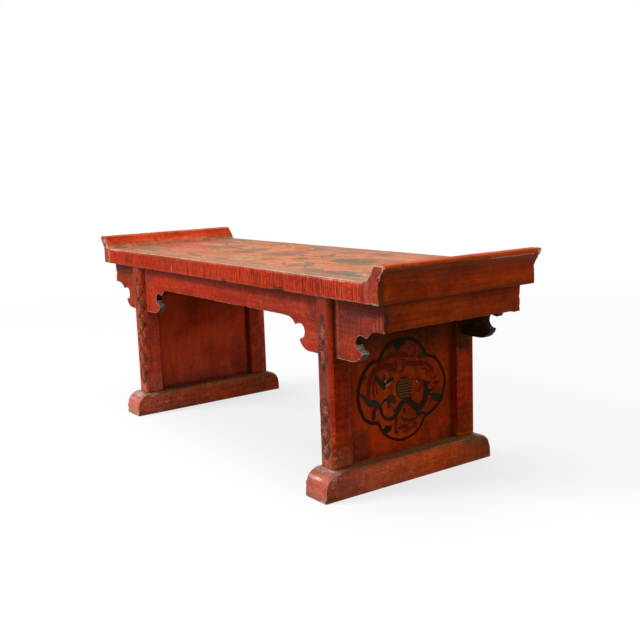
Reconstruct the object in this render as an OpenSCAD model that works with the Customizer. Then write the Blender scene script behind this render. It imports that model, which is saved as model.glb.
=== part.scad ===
// Display stand in the form of a small altar table. A long top with everted ends rests on
// two trestles. Each trestle has two posts, a shoe foot, a top rail and a thin panel, and
// cloud spandrels hang under the aprons on both sides of every post.
// The origin is at floor level under the middle of the top. +X runs along the top and -Y is
// the front. The stand is the same left to right and front to back.

/* [Top] */
// Overall length between the tips of the everted ends
top_len = 663; // [600:1:800]
// Depth of the top from front to back
top_depth = 213; // [205:1:260]
// Thickness of the top board
top_t = 21.4; // [18:0.2:26]
// Height of the display surface above the floor
surface_h = 232.9; // [215:0.1:300]

/* [Everted ends] */
// Length of an end piece from its seam to its tip
end_len = 31.5; // [28:0.5:36]
// How far the tip stands out past the end face under it
tip_out = 9.8; // [8:0.2:12]
// Rise of the tip above the display surface
tip_rise = 17.2; // [13:0.1:21]
// Height of the blunt edge of the tip
tip_edge_h = 5.4; // [4:0.2:7]
// Radius of the hollow under the tip
neck_r = 12; // [6:0.5:14]
// Distance from the seam to where the ramp leaves the surface
ramp_toe = 3.7; // [3.4:0.1:6]
// Slope of the ramp up to the tip, in degrees
ramp_angle = 55; // [48:1:62]
// Radius of the hollow at the foot of the ramp
toe_r = 5.6; // [4:0.2:7]
// Radius of the round over at the head of the ramp
brow_r = 8; // [2:0.5:9]

/* [Aprons] */
// Thickness of the aprons, the end aprons and the spandrels
apron_t = 9.5; // [8:0.1:10.5]
// Height of the long aprons
apron_h = 29; // [24:0.5:34]
// Height of the end aprons
end_apron_h = 28; // [22:0.5:32]
// Setback of the apron's face from the front edge of the top
apron_setback = 12.9; // [11:0.1:18]
// Setback of the end aprons' faces from the tips of the top
apron_end_setback = 18.7; // [14:0.1:22]

/* [Spandrels] */
// Depth of a spandrel below the apron
spandrel_drop = 34.5; // [31:0.5:38]
// Reach of a spandrel from the post's face to its thin end
spandrel_reach = 66; // [62:0.5:74]
// Radius of the lobe at the bottom of a spandrel
lobe_r = 20; // [17:0.5:22]
// Distance from the post's face to where the lobe starts to round up
lobe_start = 26; // [24:0.5:28]
// Angle through which the lobe turns up to its point
lobe_turn = 60; // [50:1:64]
// Radius of the round notch above the lobe
notch_r = 8; // [6:0.25:8.5]
// Distance from the post's face to the middle of the notch
notch_reach = 41.5; // [38:0.5:43]
// Depth of the middle of the notch below the apron
notch_drop = 14.1; // [13:0.1:15.5]
// Radius of the run from the cusp up to the apron
run_r = 17.5; // [15:0.5:19]
// Angle through which the run turns
run_turn = 56; // [48:1:60]

/* [Posts] */
// Width of a post along the stand
post_w = 22.1; // [20:0.1:27]
// How far a post stands proud of the apron's face
post_proud = 7.3; // [6.6:0.1:9]
// Thickness of the post behind the apron
post_back = 8.6; // [8.2:0.1:12]
// Distance from the outer end of the apron to the post's outer face
post_inset = 77.5; // [76:0.5:90]
// Radius of the post's rounded front corners
post_edge_r = 5; // [2:0.5:6]

/* [Feet] */
// Length of the foot's toe in front of the post's face
foot_toe = 18.2; // [16:0.2:30]
// Height of a shoe foot
foot_h = 29.9; // [26:0.1:36]
// Ledge of the foot outside the post
foot_ledge_out = 9.1; // [6:0.1:14]
// Ledge of the foot inside the post
foot_ledge_in = 5.7; // [4:0.1:10]
// Radius of the rounded upper ends of the foot
foot_end_r = 19; // [14:0.5:22]

/* [Panels and top rails] */
// Thickness of a trestle panel
panel_t = 4.6; // [4:0.1:6]
// Recess of the panel behind the post's outer face
panel_recess = 8.2; // [7:0.1:9.5]
// Height of the top rail between the posts
rail_h = 27.5; // [24:0.5:32]
// Width of the top rail
rail_w = 16; // [14:0.2:18]

/* [Joints] */
// Clearance on each face of a tenon, tongue or panel edge in its slot
fit = 0.1; // [0.05:0.01:0.15]
// Clearance at the bottom of a mortise or groove
bottom_gap = 0.4; // [0.2:0.1:0.6]
// Length of the tongue between the top board and an end piece
top_tongue_len = 8; // [6:0.5:10]
// Thickness of that tongue
top_tongue_t = 7; // [5:0.5:9]
// Distance that this tongue stops short of the front and back edges
top_tongue_stop = 12; // [8:1:20]
// Depth to which the panel sits in its grooves
panel_bite = 4.4; // [3:0.1:5]
// Height of the tongue on a spandrel
spandrel_tongue_h = 4; // [2.5:0.1:5]
// Thickness of the tongues on spandrels and end aprons
tongue_t = 3.2; // [2.4:0.1:4]
// Length of the tongue on an end apron
end_tongue_len = 3; // [2:0.1:4]
// Length of the top rail's tenons
rail_tenon_len = 7.2; // [6:0.1:7.6]
// Thickness of the top rail's tenons
rail_tenon_t = 8; // [6:0.2:10]
// Height of the top rail's tenons
rail_tenon_h = 16; // [12:0.5:18]
// Width of a post's foot tenon along the stand
foot_tenon_w = 12; // [9:0.2:14]
// Width of a post's foot tenon from front to back
foot_tenon_d = 13; // [10:0.2:13.4]
// Length of a post's foot tenon
foot_tenon_len = 18; // [17:0.5:22]
// Width of a post's two top tenons along the stand
top_tenon_w = 12; // [9:0.2:14]
// Thickness of a post's two top tenons
top_tenon_t = 5; // [4:0.1:5.4]
// Length of a post's two top tenons
top_tenon_len = 9; // [6:0.2:12]
// Diameter of the peg through a foot tenon
peg_d = 5; // [4:0.1:6]
// Distance from the top of the foot down to that peg's middle
peg_drop = 11.9; // [10:0.1:14]

/* [Hidden] */

// Fineness of the round corners
arc_steps = 6;
curve_fn = 64;
// Height that is left at the thin end of a spandrel
thin_end = 0.4;
// Radius that eases the lower outer edge of an end piece
edge_r = 1.4;
// Height of the solid shoulder of an end apron under its tongue
tongue_shoulder = 5;
// Distance by which a cut runs past the face it opens
past = 1;

top_y = top_depth / 2;
underside = surface_h - top_t;
seam_x = top_len / 2 - end_len;
apron_face = top_y - apron_setback;
apron_rear = apron_face - apron_t;
apron_end = top_len / 2 - apron_end_setback;
apron_z = underside - apron_h;
spandrel_z = apron_z - spandrel_drop;
post_x1 = apron_end - post_inset;
post_x0 = post_x1 - post_w;
post_x = (post_x0 + post_x1) / 2;
post_face = apron_face + post_proud;
post_rear = apron_rear - post_back;
post_d = post_face - post_rear;
post_y = (post_face + post_rear) / 2;
foot_x0 = post_x0 - foot_ledge_in;
foot_w = post_w + foot_ledge_in + foot_ledge_out;
foot_len = 2 * (post_face + foot_toe);
panel_x1 = post_x1 - panel_recess;
panel_x0 = panel_x1 - panel_t;
rail_z = underside - rail_h;
peg_end = post_x + foot_tenon_w / 2 + bottom_gap + peg_d / 2;

function unit(v) = v / norm(v);

// Points of an arc about c
function arc(c, r, from, to) =
    [for (i = [0:arc_steps]) let (a = from + (to - from) * i / arc_steps)
        c + r * [cos(a), sin(a)]];

// Points that round the corner b between a and c to radius r
function rounded(a, b, c, r) =
    let (u = unit(a - b), v = unit(c - b), half = acos(u * v) / 2,
         m = b + unit(u + v) * r / sin(half),
         p = b + u * r / tan(half) - m, q = b + v * r / tan(half) - m,
         from = atan2(p.y, p.x), turn = (atan2(q.y, q.x) - from + 540) % 360 - 180)
    arc(m, r, from, from + turn);

// Outline through corners [x, y, radius]
function outline(corners) =
    let (n = len(corners), at = [for (k = corners) [k.x, k.y]])
    [for (i = [0:n - 1])
        each corners[i][2] > 0
            ? rounded(at[(i + n - 1) % n], at[i], at[(i + 1) % n], corners[i][2])
            : [at[i]]];

// A box between two corners
module box(low, high) {
    translate(low) cube(high - low);
}

// Moves a piece drawn for the right front corner to another corner
module corner(right, front) {
    if (right && front) children();
    if (!right && front) mirror([1, 0, 0]) children();
    if (right && !front) mirror([0, 1, 0]) children();
    if (!right && !front) rotate([0, 0, 180]) children();
}

// Moves a piece drawn for the right end to the left end
module end(right) {
    if (right) children();
    else mirror([1, 0, 0]) children();
}

// Repeats a cut for all four posts
module at_posts() {
    for (right = [true, false], front = [true, false]) corner(right, front) children();
}

// The two tenons on top of the right front post, or their mortises
module top_tenons(gap, extra) {
    for (y = [(post_face + apron_face) / 2, (apron_rear + post_rear) / 2])
        box([post_x - top_tenon_w / 2 - gap, -y - top_tenon_t / 2 - gap, underside - past],
            [post_x + top_tenon_w / 2 + gap, -y + top_tenon_t / 2 + gap,
             underside + top_tenon_len + extra]);
}

// The tenon under the right front post, or its mortise
module foot_tenon(gap, extra, top) {
    box([post_x - foot_tenon_w / 2 - gap, -post_y - foot_tenon_d / 2 - gap,
         foot_h - foot_tenon_len - extra],
        [post_x + foot_tenon_w / 2 + gap, -post_y + foot_tenon_d / 2 + gap, top]);
}

// The peg through that tenon, or its hole
module peg(gap, start) {
    translate([start, -post_y, foot_h - peg_drop]) rotate([0, 90, 0])
        cylinder(h = peg_end - start, d = peg_d + 2 * gap, $fn = curve_fn);
}

// The tongue between the top board and the right end piece, or its groove
module top_tongue(gap, extra, start) {
    y = top_y - top_tongue_stop + gap;
    z = surface_h - top_t / 2;
    box([start, -y, z - top_tongue_t / 2 - gap],
        [seam_x + top_tongue_len + extra, y, z + top_tongue_t / 2 + gap]);
}

// The tongue of the right end apron in the front apron, or its groove
module end_tongue(gap, extra) {
    x = apron_end - apron_t / 2;
    box([x - tongue_t / 2 - gap, -apron_rear - end_tongue_len - extra,
         underside - end_apron_h + tongue_shoulder - gap],
        [x + tongue_t / 2 + gap, -apron_rear + past, underside + past]);
}

// The panel's board, grown for the grooves that hold it
module panel_board(gap, extra) {
    y = post_rear + panel_bite + extra;
    box([panel_x0 - gap, -y, foot_h - panel_bite - extra],
        [panel_x1 + gap, y, rail_z + panel_bite + extra]);
}

// The front tenon of the right top rail, or its mortise
module rail_tenon(gap, extra) {
    z = underside - rail_tenon_h / 2 - bottom_gap;
    box([post_x - rail_tenon_t / 2 - gap, -post_rear - rail_tenon_len - extra,
         z - rail_tenon_h / 2 - gap],
        [post_x + rail_tenon_t / 2 + gap, -post_rear + past, z + rail_tenon_h / 2 + gap]);
}

// Outline of a spandrel: x from the post's face, y down from the apron
function spandrel_outline() =
    let (lobe = [lobe_start, lobe_r - spandrel_drop],
         notch = [notch_reach, -notch_drop],
         run = [spandrel_reach, -thin_end - run_r],
         slot_end = fit - post_w / 2)
    concat([[slot_end, 0], [slot_end, -spandrel_drop]],
           arc(lobe, lobe_r, -90, lobe_turn - 90),
           arc(notch, notch_r, 280, 180), arc(notch, notch_r, 180, 80),
           arc(run, run_r, 90 + run_turn, 90),
           [[spandrel_reach, 0]]);

// The tongue along the top of a spandrel, or its groove in the apron
module spandrel_tongue(gap, extra) {
    box([fit - post_w / 2 - gap, -apron_face + apron_t / 2 - tongue_t / 2 - gap, -past],
        [notch_reach + gap, -apron_face + apron_t / 2 + tongue_t / 2 + gap,
         spandrel_tongue_h + extra]);
}

// Moves a piece drawn from the post's face to the outer or inner side of the right post
module beside_post(outer) {
    if (outer) translate([post_x1, 0, apron_z]) children();
    else translate([post_x0, 0, apron_z]) mirror([1, 0, 0]) children();
}

module spandrel(right, front, outer) {
    color("#a83222") corner(right, front) beside_post(outer) union() {
        translate([0, -apron_rear, 0]) rotate([90, 0, 0])
            linear_extrude(apron_t) polygon(spandrel_outline());
        intersection() {
            spandrel_tongue(0, 0);
            box([-post_w, -top_y, 0], [spandrel_reach, 0, apron_h]);
        }
    }
}

module top_board() {
    color("#d9825c") difference() {
        union() {
            box([-seam_x, -top_y, underside], [seam_x, top_y, surface_h]);
            for (right = [true, false]) end(right) top_tongue(0, 0, seam_x - past);
        }
        at_posts() top_tenons(fit, bottom_gap);
    }
}

// Section of an end piece: x from the seam, y up from the underside of the top
function end_outline() =
    let (face = end_len - tip_out, tip = top_t + tip_rise, lip = tip - tip_edge_h,
         ramp_head = ramp_toe + tip_rise / tan(ramp_angle))
    outline([[0, 0, 0], [face, 0, edge_r], [face, top_t, neck_r],
             [end_len - edge_r, lip, edge_r], [end_len, tip - tip_edge_h / 2, edge_r],
             [end_len, tip, edge_r], [ramp_head, tip, brow_r], [ramp_toe, top_t, toe_r],
             [0, top_t, 0]]);

module everted_end(right) {
    color("#a8361f") end(right) difference() {
        translate([seam_x, top_y, underside]) rotate([90, 0, 0])
            linear_extrude(top_depth) polygon(end_outline());
        top_tongue(fit, bottom_gap, seam_x - past);
    }
}

module apron(front) {
    color("#ad3524") corner(true, front) difference() {
        box([-apron_end, -apron_face, apron_z], [apron_end, -apron_rear, underside]);
        for (right = [true, false]) end(right) {
            end_tongue(fit, bottom_gap);
            for (outer = [true, false]) beside_post(outer) spandrel_tongue(fit, bottom_gap);
        }
    }
}

module end_apron(right) {
    color("#7c2d14") end(right) union() {
        box([apron_end - apron_t, -apron_rear, underside - end_apron_h],
            [apron_end, apron_rear, underside]);
        for (front = [true, false]) corner(true, front) intersection() {
            end_tongue(0, 0);
            box([0, -top_y, 0], [apron_end, 0, underside]);
        }
    }
}

// Section of the right front post, with its front corners rounded
module post_section() {
    r = post_edge_r;
    translate([post_x0 + r, -post_face]) square([post_w - 2 * r, post_d]);
    translate([post_x0, -post_face + r]) square([post_w, post_d - r]);
    for (x = [post_x0 + r, post_x1 - r])
        translate([x, -post_face + r]) circle(r, $fn = curve_fn);
}

module post(right, front) {
    color("#a13020") corner(right, front) difference() {
        union() {
            translate([0, 0, foot_h]) linear_extrude(underside - foot_h) post_section();
            top_tenons(0, 0);
            foot_tenon(0, 0, foot_h + past);
        }
        box([post_x0 - past, -apron_face - fit, spandrel_z],
            [post_x1 + past, -apron_rear + fit, surface_h]);
        intersection() {
            panel_board(fit, bottom_gap);
            box([post_x0, -top_y, foot_h], [post_x1, 0, surface_h]);
        }
        rail_tenon(fit, bottom_gap);
        peg(fit, foot_x0);
    }
}

// Side outline of a foot, with quarter rounds at both upper ends
module foot_section() {
    y = foot_len / 2;
    translate([-y, 0]) square([foot_len, foot_h - foot_end_r]);
    translate([foot_end_r - y, 0]) square([foot_len - 2 * foot_end_r, foot_h]);
    intersection() {
        translate([-y, 0]) square([foot_len, foot_h]);
        for (side = [-1, 1])
            translate([side * (y - foot_end_r), foot_h - foot_end_r])
                circle(foot_end_r, $fn = curve_fn);
    }
}

module foot(right) {
    color("#9c3a20") end(right) difference() {
        translate([foot_x0, 0, 0]) rotate([90, 0, 90]) linear_extrude(foot_w) foot_section();
        panel_board(fit, bottom_gap);
        for (front = [true, false]) corner(true, front) {
            foot_tenon(fit, bottom_gap, foot_h + past);
            peg(fit, foot_x0 - past);
        }
    }
}

module panel(right) {
    color("#761f10") end(right) panel_board(0, 0);
}

module top_rail(right) {
    color("#5d2414") end(right) difference() {
        union() {
            box([post_x - rail_w / 2, -post_rear, rail_z],
                [post_x + rail_w / 2, post_rear, underside]);
            for (front = [true, false]) corner(true, front) rail_tenon(0, 0);
        }
        panel_board(fit, bottom_gap);
    }
}

module foot_pegs(right) {
    color("#b08a58") end(right)
        for (front = [true, false]) corner(true, front) peg(0, foot_x0);
}

top_board();
everted_end(false);  // everted_end_left
everted_end(true);  // everted_end_right
apron(true);  // apron_front
apron(false);  // apron_back
end_apron(false);  // end_apron_left
end_apron(true);  // end_apron_right
spandrel(false, true, true);  // spandrel_front_left_outer
spandrel(false, true, false);  // spandrel_front_left_inner
spandrel(true, true, false);  // spandrel_front_right_inner
spandrel(true, true, true);  // spandrel_front_right_outer
spandrel(false, false, true);  // spandrel_back_left_outer
spandrel(false, false, false);  // spandrel_back_left_inner
spandrel(true, false, false);  // spandrel_back_right_inner
spandrel(true, false, true);  // spandrel_back_right_outer
post(false, true);  // post_front_left
post(true, true);  // post_front_right
post(false, false);  // post_back_left
post(true, false);  // post_back_right
foot(false);  // foot_left
foot(true);  // foot_right
panel(false);  // panel_left
panel(true);  // panel_right
top_rail(false);  // top_rail_left
top_rail(true);  // top_rail_right
foot_pegs(false);  // foot_pegs_left
foot_pegs(true);  // foot_pegs_right
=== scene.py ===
import math
import random

import bmesh
import bpy
import numpy as np
from mathutils import Matrix, Vector, noise
from mathutils.geometry import delaunay_2d_cdt


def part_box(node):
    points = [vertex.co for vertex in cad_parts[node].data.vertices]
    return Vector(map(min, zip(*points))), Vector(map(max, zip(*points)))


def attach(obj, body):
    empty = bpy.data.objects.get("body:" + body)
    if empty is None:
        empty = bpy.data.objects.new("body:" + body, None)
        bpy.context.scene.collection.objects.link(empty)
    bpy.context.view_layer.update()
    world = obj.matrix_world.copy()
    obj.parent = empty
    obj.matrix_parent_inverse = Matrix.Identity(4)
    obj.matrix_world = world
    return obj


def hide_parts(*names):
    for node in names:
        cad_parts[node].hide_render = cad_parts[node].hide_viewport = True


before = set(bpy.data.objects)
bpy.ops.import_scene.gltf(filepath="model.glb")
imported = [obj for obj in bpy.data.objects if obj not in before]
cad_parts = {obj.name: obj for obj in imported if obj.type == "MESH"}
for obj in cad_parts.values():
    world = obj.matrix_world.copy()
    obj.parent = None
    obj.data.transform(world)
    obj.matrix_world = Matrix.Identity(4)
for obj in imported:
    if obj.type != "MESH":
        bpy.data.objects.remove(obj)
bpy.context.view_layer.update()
mm = 0.001
sides = (("left", -1), ("right", 1))
fronts = (("front", -1), ("back", 1))
print("frame loaded,", len(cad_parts), "nodes")


# shared helpers

def addObject(name, data):
    thing = bpy.data.objects.new(name, data)
    bpy.context.scene.collection.objects.link(thing)
    return thing


def emptyMaterial(name):
    material = bpy.data.materials.new(name)
    material.use_nodes = True
    material.node_tree.nodes.clear()
    return material


def put(tree, value, socket):
    # another socket is linked, anything else becomes the value
    if isinstance(value, bpy.types.NodeSocket):
        tree.links.new(value, socket)
    else:
        socket.default_value = value


def addNode(tree, kind, inputs=None, **settings):
    # a node's inputs go by their name or number
    node = tree.nodes.new(kind)
    for key, value in settings.items():
        setattr(node, key, value)
    for key, value in (inputs or {}).items():
        put(tree, value, node.inputs[key])
    return node


# camera and room

cameraSetup = {
    "place": (0.967598, -0.629875, 0.340786),
    "lens": 51.285,
    "sensor": 36,
    "yaw": -54.7222,
    "pitch": -9.549,
    "roll": -2.05,
}


def addCamera(setup):
    yaw, pitch, roll = (math.radians(setup[key]) for key in ("yaw", "pitch", "roll"))
    ahead = Vector((math.sin(yaw) * math.cos(pitch), math.cos(yaw) * math.cos(pitch), math.sin(pitch)))
    level = Vector((math.cos(yaw), -math.sin(yaw), 0))
    above = level.cross(ahead)
    right = math.cos(roll) * level + math.sin(roll) * above
    up = math.cos(roll) * above - math.sin(roll) * level
    data = bpy.data.cameras.new("camera")
    data.lens = setup["lens"]
    data.sensor_width = setup["sensor"]
    camera = addObject("camera", data)
    turn = Matrix((right, up, -ahead)).transposed().to_4x4()
    camera.matrix_world = Matrix.Translation(setup["place"]) @ turn
    bpy.context.scene.camera = camera


room = {
    "ambient": 0.42,
    "floorSize": 12.0,
    "floorPaint": 0.8,       # grey of the floor as it lights the part
    "floorGlow": 0.7,        # white that the camera sees under the floor's own shading
    "floorShade": 0.34,
    "floorFade": (0.7, 1.7),     # metres from the middle over which the floor turns plain white
    "aim": (0, 0, 0.12),
    "lamps": (
        {"name": "keyLamp", "place": (-0.75, -1.7, 1.35), "size": 1.0, "power": 27},
        {"name": "topLamp", "place": (0.2, -0.2, 2.1), "size": 1.3, "power": 12},
        {"name": "endLamp", "place": (1.9, 0.5, 0.9), "size": 1.2, "power": 4},
    ),
}


def seenDirectly(tree):
    # 1 for what the camera, a gloss or a glass sees straight away
    path = addNode(tree, "ShaderNodeLightPath").outputs
    seen = path["Is Camera Ray"]
    for other in ("Is Glossy Ray", "Is Transmission Ray"):
        seen = addNode(tree, "ShaderNodeMath", {0: seen, 1: path[other]}, operation="MAXIMUM").outputs[0]
    return seen


def addWorld(setup):
    world = bpy.data.worlds.new("studio")
    bpy.context.scene.world = world
    world.use_nodes = True
    tree = world.node_tree
    strength = addNode(tree, "ShaderNodeMapRange",
                       {"Value": seenDirectly(tree), "To Min": setup["ambient"], "To Max": 1.0})
    background = tree.nodes["Background"]
    put(tree, (1, 1, 1, 1), background.inputs["Color"])
    put(tree, strength.outputs["Result"], background.inputs["Strength"])


def floorMaterial(setup):
    # pale paper that the camera sees lighter, fading to plain white
    material = emptyMaterial("palePaper")
    tree = material.node_tree

    def add(kind, inputs=None, **settings):
        return addNode(tree, kind, inputs, **settings).outputs[0]

    plain = add("ShaderNodeBsdfDiffuse", {"Color": (setup["floorPaint"],) * 3 + (1,)})
    shown = add("ShaderNodeBsdfDiffuse", {"Color": (setup["floorShade"],) * 3 + (1,)})
    glow = add("ShaderNodeEmission", {"Strength": setup["floorGlow"]})
    lit = add("ShaderNodeAddShader", {0: shown, 1: glow})
    spot = addNode(tree, "ShaderNodeTexCoord").outputs["Object"]
    away = addNode(tree, "ShaderNodeVectorMath", {0: spot}, operation="LENGTH").outputs["Value"]
    near, far = setup["floorFade"]
    fade = add("ShaderNodeMapRange", {"Value": away, "From Min": near, "From Max": far},
               interpolation_type="SMOOTHSTEP")
    faded = add("ShaderNodeMixShader", {0: fade, 1: lit, 2: add("ShaderNodeEmission")})
    pick = add("ShaderNodeMixShader", {0: seenDirectly(tree), 1: plain, 2: faded})
    addNode(tree, "ShaderNodeOutputMaterial", {"Surface": pick})
    return material


def addRoom(setup):
    addWorld(setup)
    half = setup["floorSize"] / 2
    mesh = bpy.data.meshes.new("floor")
    corners = [(-half, -half, 0), (half, -half, 0), (half, half, 0), (-half, half, 0)]
    mesh.from_pydata(corners, [], [(0, 1, 2, 3)])
    mesh.materials.append(floorMaterial(setup))
    addObject("floor", mesh)

    for lamp in setup["lamps"]:
        data = bpy.data.lights.new(lamp["name"], "AREA")
        data.shape = "DISK"
        data.size = lamp["size"]
        data.energy = lamp["power"]
        light = addObject(lamp["name"], data)
        light.location = lamp["place"]
        aim = Vector(setup["aim"]) - Vector(lamp["place"])
        light.rotation_euler = aim.to_track_quat("-Z", "Y").to_euler()


bpy.context.scene.view_settings.view_transform = "Standard"
addCamera(cameraSetup)
addRoom(room)
print("camera and room ready")


# lacquer materials

def tint(red, green, blue):
    # a colour as it is seen on a screen, 0 to 255, made linear
    def linear(value):
        value /= 255
        return value / 12.92 if value <= 0.04045 else ((value + 0.055) / 1.055) ** 2.4
    return (linear(red), linear(green), linear(blue), 1.0)


class Recipe:
    # short words for the nodes that a finish is made of

    def __init__(self, name):
        self.material = emptyMaterial(name)
        self.place = self.node("ShaderNodeTexCoord").outputs["Object"]

    def node(self, kind, inputs=None, **settings):
        return addNode(self.material.node_tree, kind, inputs, **settings)

    def sum(self, operation, a, b=0.0, clamp=False):
        return self.node("ShaderNodeMath", {0: a, 1: b}, operation=operation, use_clamp=clamp).outputs[0]

    def plus(self, a, b, clamp=False):
        return self.sum("ADD", a, b, clamp)

    def minus(self, a, b):
        return self.sum("SUBTRACT", a, b)

    def times(self, a, b, clamp=False):
        return self.sum("MULTIPLY", a, b, clamp)

    def absolute(self, value):
        return self.sum("ABSOLUTE", value)

    def astray(self, value, field, reach):
        # the value, pushed to either side by a noise
        return self.plus(value, self.times(self.minus(field, 0.5), reach))

    def noise(self, scale, stretch=(1, 1, 1), detail=4.0, rough=0.55, shift=0.0):
        mapping = self.node("ShaderNodeMapping", {
            "Vector": self.place, "Location": (shift, shift * 0.7, shift * 1.3), "Scale": stretch})
        inputs = {"Vector": mapping.outputs[0], "Scale": scale, "Detail": detail, "Roughness": rough}
        return self.node("ShaderNodeTexNoise", inputs).outputs["Fac"]

    def cells(self, scale):
        return self.node("ShaderNodeTexVoronoi", {"Vector": self.place, "Scale": scale}).outputs["Distance"]

    def between(self, value, low, high, start=0.0, end=1.0):
        inputs = {"Value": value, "From Min": low, "From Max": high, "To Min": start, "To Max": end}
        return self.node("ShaderNodeMapRange", inputs, interpolation_type="SMOOTHSTEP").outputs["Result"]

    def mix(self, share, a, b, blend="MIX"):
        return self.node("ShaderNodeMix", {"Factor": share, 6: a, 7: b},
                         data_type="RGBA", blend_type=blend).outputs[2]

    def shaded(self, colour, shade):
        return self.mix(1.0, colour, shade, "MULTIPLY")

    def grey(self, value):
        return self.node("ShaderNodeCombineColor", {0: value, 1: value, 2: value}).outputs[0]

    def attribute(self, name, output="Fac"):
        return self.node("ShaderNodeAttribute", attribute_name=name).outputs[output]

    def axis(self, which):
        return self.node("ShaderNodeSeparateXYZ", {0: self.place}).outputs[which]

    def finish(self, colour, roughness, height, look):
        bump = self.node("ShaderNodeBump", {
            "Strength": look["bump"], "Distance": 0.4 * mm, "Height": height})
        shader = self.node("ShaderNodeBsdfPrincipled", {
            "Base Color": colour, "Roughness": roughness, "Specular IOR Level": look["gloss"],
            "Coat Weight": look["coat"], "Coat Roughness": 0.3, "Normal": bump.outputs[0]})
        self.node("ShaderNodeOutputMaterial", {"Surface": shader.outputs[0]})
        return self.material


cream = tint(214, 186, 158)
grime = tint(38, 22, 14)
warmCast = (1.08, 0.78, 0.6, 1.0)
coolCast = (0.92, 1.14, 1.5, 1.0)
grainAlong = {"x": (0.05, 1, 1), "y": (1, 0.05, 1), "z": (1, 1, 0.05)}


def tonesAlong(recipe, tones):
    # the ground colour drifts along one axis, with stops in millimetres
    stops = tones["stops"]
    low, high = stops[0][0] * mm, stops[-1][0] * mm
    ragged = recipe.noise(34, detail=5, rough=0.7, shift=10)
    value = recipe.astray(recipe.axis(tones["axis"]), ragged, 2 * tones["wander"] * mm)
    share = recipe.sum("DIVIDE", recipe.minus(value, low), high - low, clamp=True)
    ramp = recipe.node("ShaderNodeValToRGB", {"Fac": share})
    marks = ramp.color_ramp.elements
    for index, (spot, colour) in enumerate(stops):
        position = (spot * mm - low) / (high - low)
        mark = marks[index] if index < 2 else marks.new(position)
        mark.position = position
        mark.color = tint(*colour)
    return ramp.outputs["Color"]


def ratioOf(one, other):
    return tuple(a / b for a, b in zip(one, other))


def lacquerLayers(recipe, look):
    # colour, roughness and height of old hand rubbed lacquer, before any paint on it
    along = grainAlong[look["grain"]]
    base, dark, light = (tint(*look[key]) for key in ("base", "dark", "light"))
    ground = tonesAlong(recipe, look["tones"]) if "tones" in look else base
    ground = bandedDirtAndShade(recipe, look, blotched(recipe, look, ground))
    darker = recipe.shaded(ground, ratioOf(dark, base))
    deepest = recipe.shaded(darker, ratioOf(dark, base))
    lighter = recipe.shaded(ground, ratioOf(light, base))
    cloud = recipe.noise(16, detail=5, rough=0.6)
    rubbed = recipe.noise(42, stretch=along, detail=5, rough=0.65, shift=3)
    stain = recipe.noise(60, detail=6, rough=0.72, shift=13)
    mottle = recipe.noise(170, detail=6, rough=0.75, shift=1)
    speck = recipe.noise(520, detail=4, rough=0.75, shift=17)
    colour = ground
    for field, low, high, share, tone in (
            (cloud, 0.42, 0.66, 1.0, darker),
            (rubbed, 0.5, 0.68, look["rubbed"], lighter),
            (stain, 0.46, 0.3, look["stain"], deepest),
            (mottle, 0.5, 0.34, look["mottle"], deepest),
            (mottle, 0.53, 0.68, look["mottle"], lighter),
            (speck, 0.46, 0.3, look["mottle"], deepest),
            (speck, 0.56, 0.7, 0.8 * look["mottle"], lighter)):
        colour = recipe.mix(recipe.between(field, low, high, 0, share), colour, tone)
    hue = recipe.noise(75, detail=4, rough=0.65, shift=21)
    for low, high, cast in ((0.5, 0.66, warmCast), (0.48, 0.34, coolCast)):
        share = recipe.between(hue, low, high, 0, look["hue"])
        colour = recipe.mix(share, colour, recipe.shaded(colour, cast))
    grain = recipe.noise(330, stretch=along, detail=3, rough=0.6)
    figure = recipe.between(grain, 0.3, 0.7, 1 - look["figure"], 1 + look["figure"])
    colour = recipe.shaded(colour, recipe.grey(figure))
    pits = recipe.noise(1500, detail=2)
    colour = recipe.mix(recipe.between(pits, 0.6, 0.74, 0, 0.5), colour, grime)
    if "streaks" in look:
        colour = streaked(recipe, look["streaks"], colour, lighter, deepest)
    height = recipe.plus(recipe.times(pits, -0.5), recipe.times(grain, 0.6))
    height = recipe.plus(height, recipe.times(mottle, 0.8))
    roughness = recipe.between(rubbed, 0.3, 0.7, look["smooth"], look["matt"])
    if "dust" in look:
        colour = dusted(recipe, look, colour)
    return colour, roughness, height


def streaked(recipe, drag, colour, light, dark):
    # brush drags across an edge, as runs of thin lines, everywhere or from one place on
    thin = recipe.noise(drag["scale"], stretch=drag["stretch"], detail=2, rough=0.5)
    wide = recipe.noise(drag["scale"] * 0.3, stretch=drag["stretch"], detail=2)
    share = 1.0
    if "from" in drag:
        share = recipe.between(recipe.axis(0), drag["from"] - 0.05, drag["from"] + 0.05)
    pale = recipe.times(recipe.between(thin, 0.53, 0.66, 0, drag["pale"]), share)
    colour = recipe.mix(pale, colour, light)
    deep = recipe.times(recipe.between(thin, 0.47, 0.36, 0, drag["deep"]), share)
    colour = recipe.mix(deep, colour, dark)
    return recipe.mix(recipe.between(wide, 0.5, 0.62, 0, 0.15), colour, dark)


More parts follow.
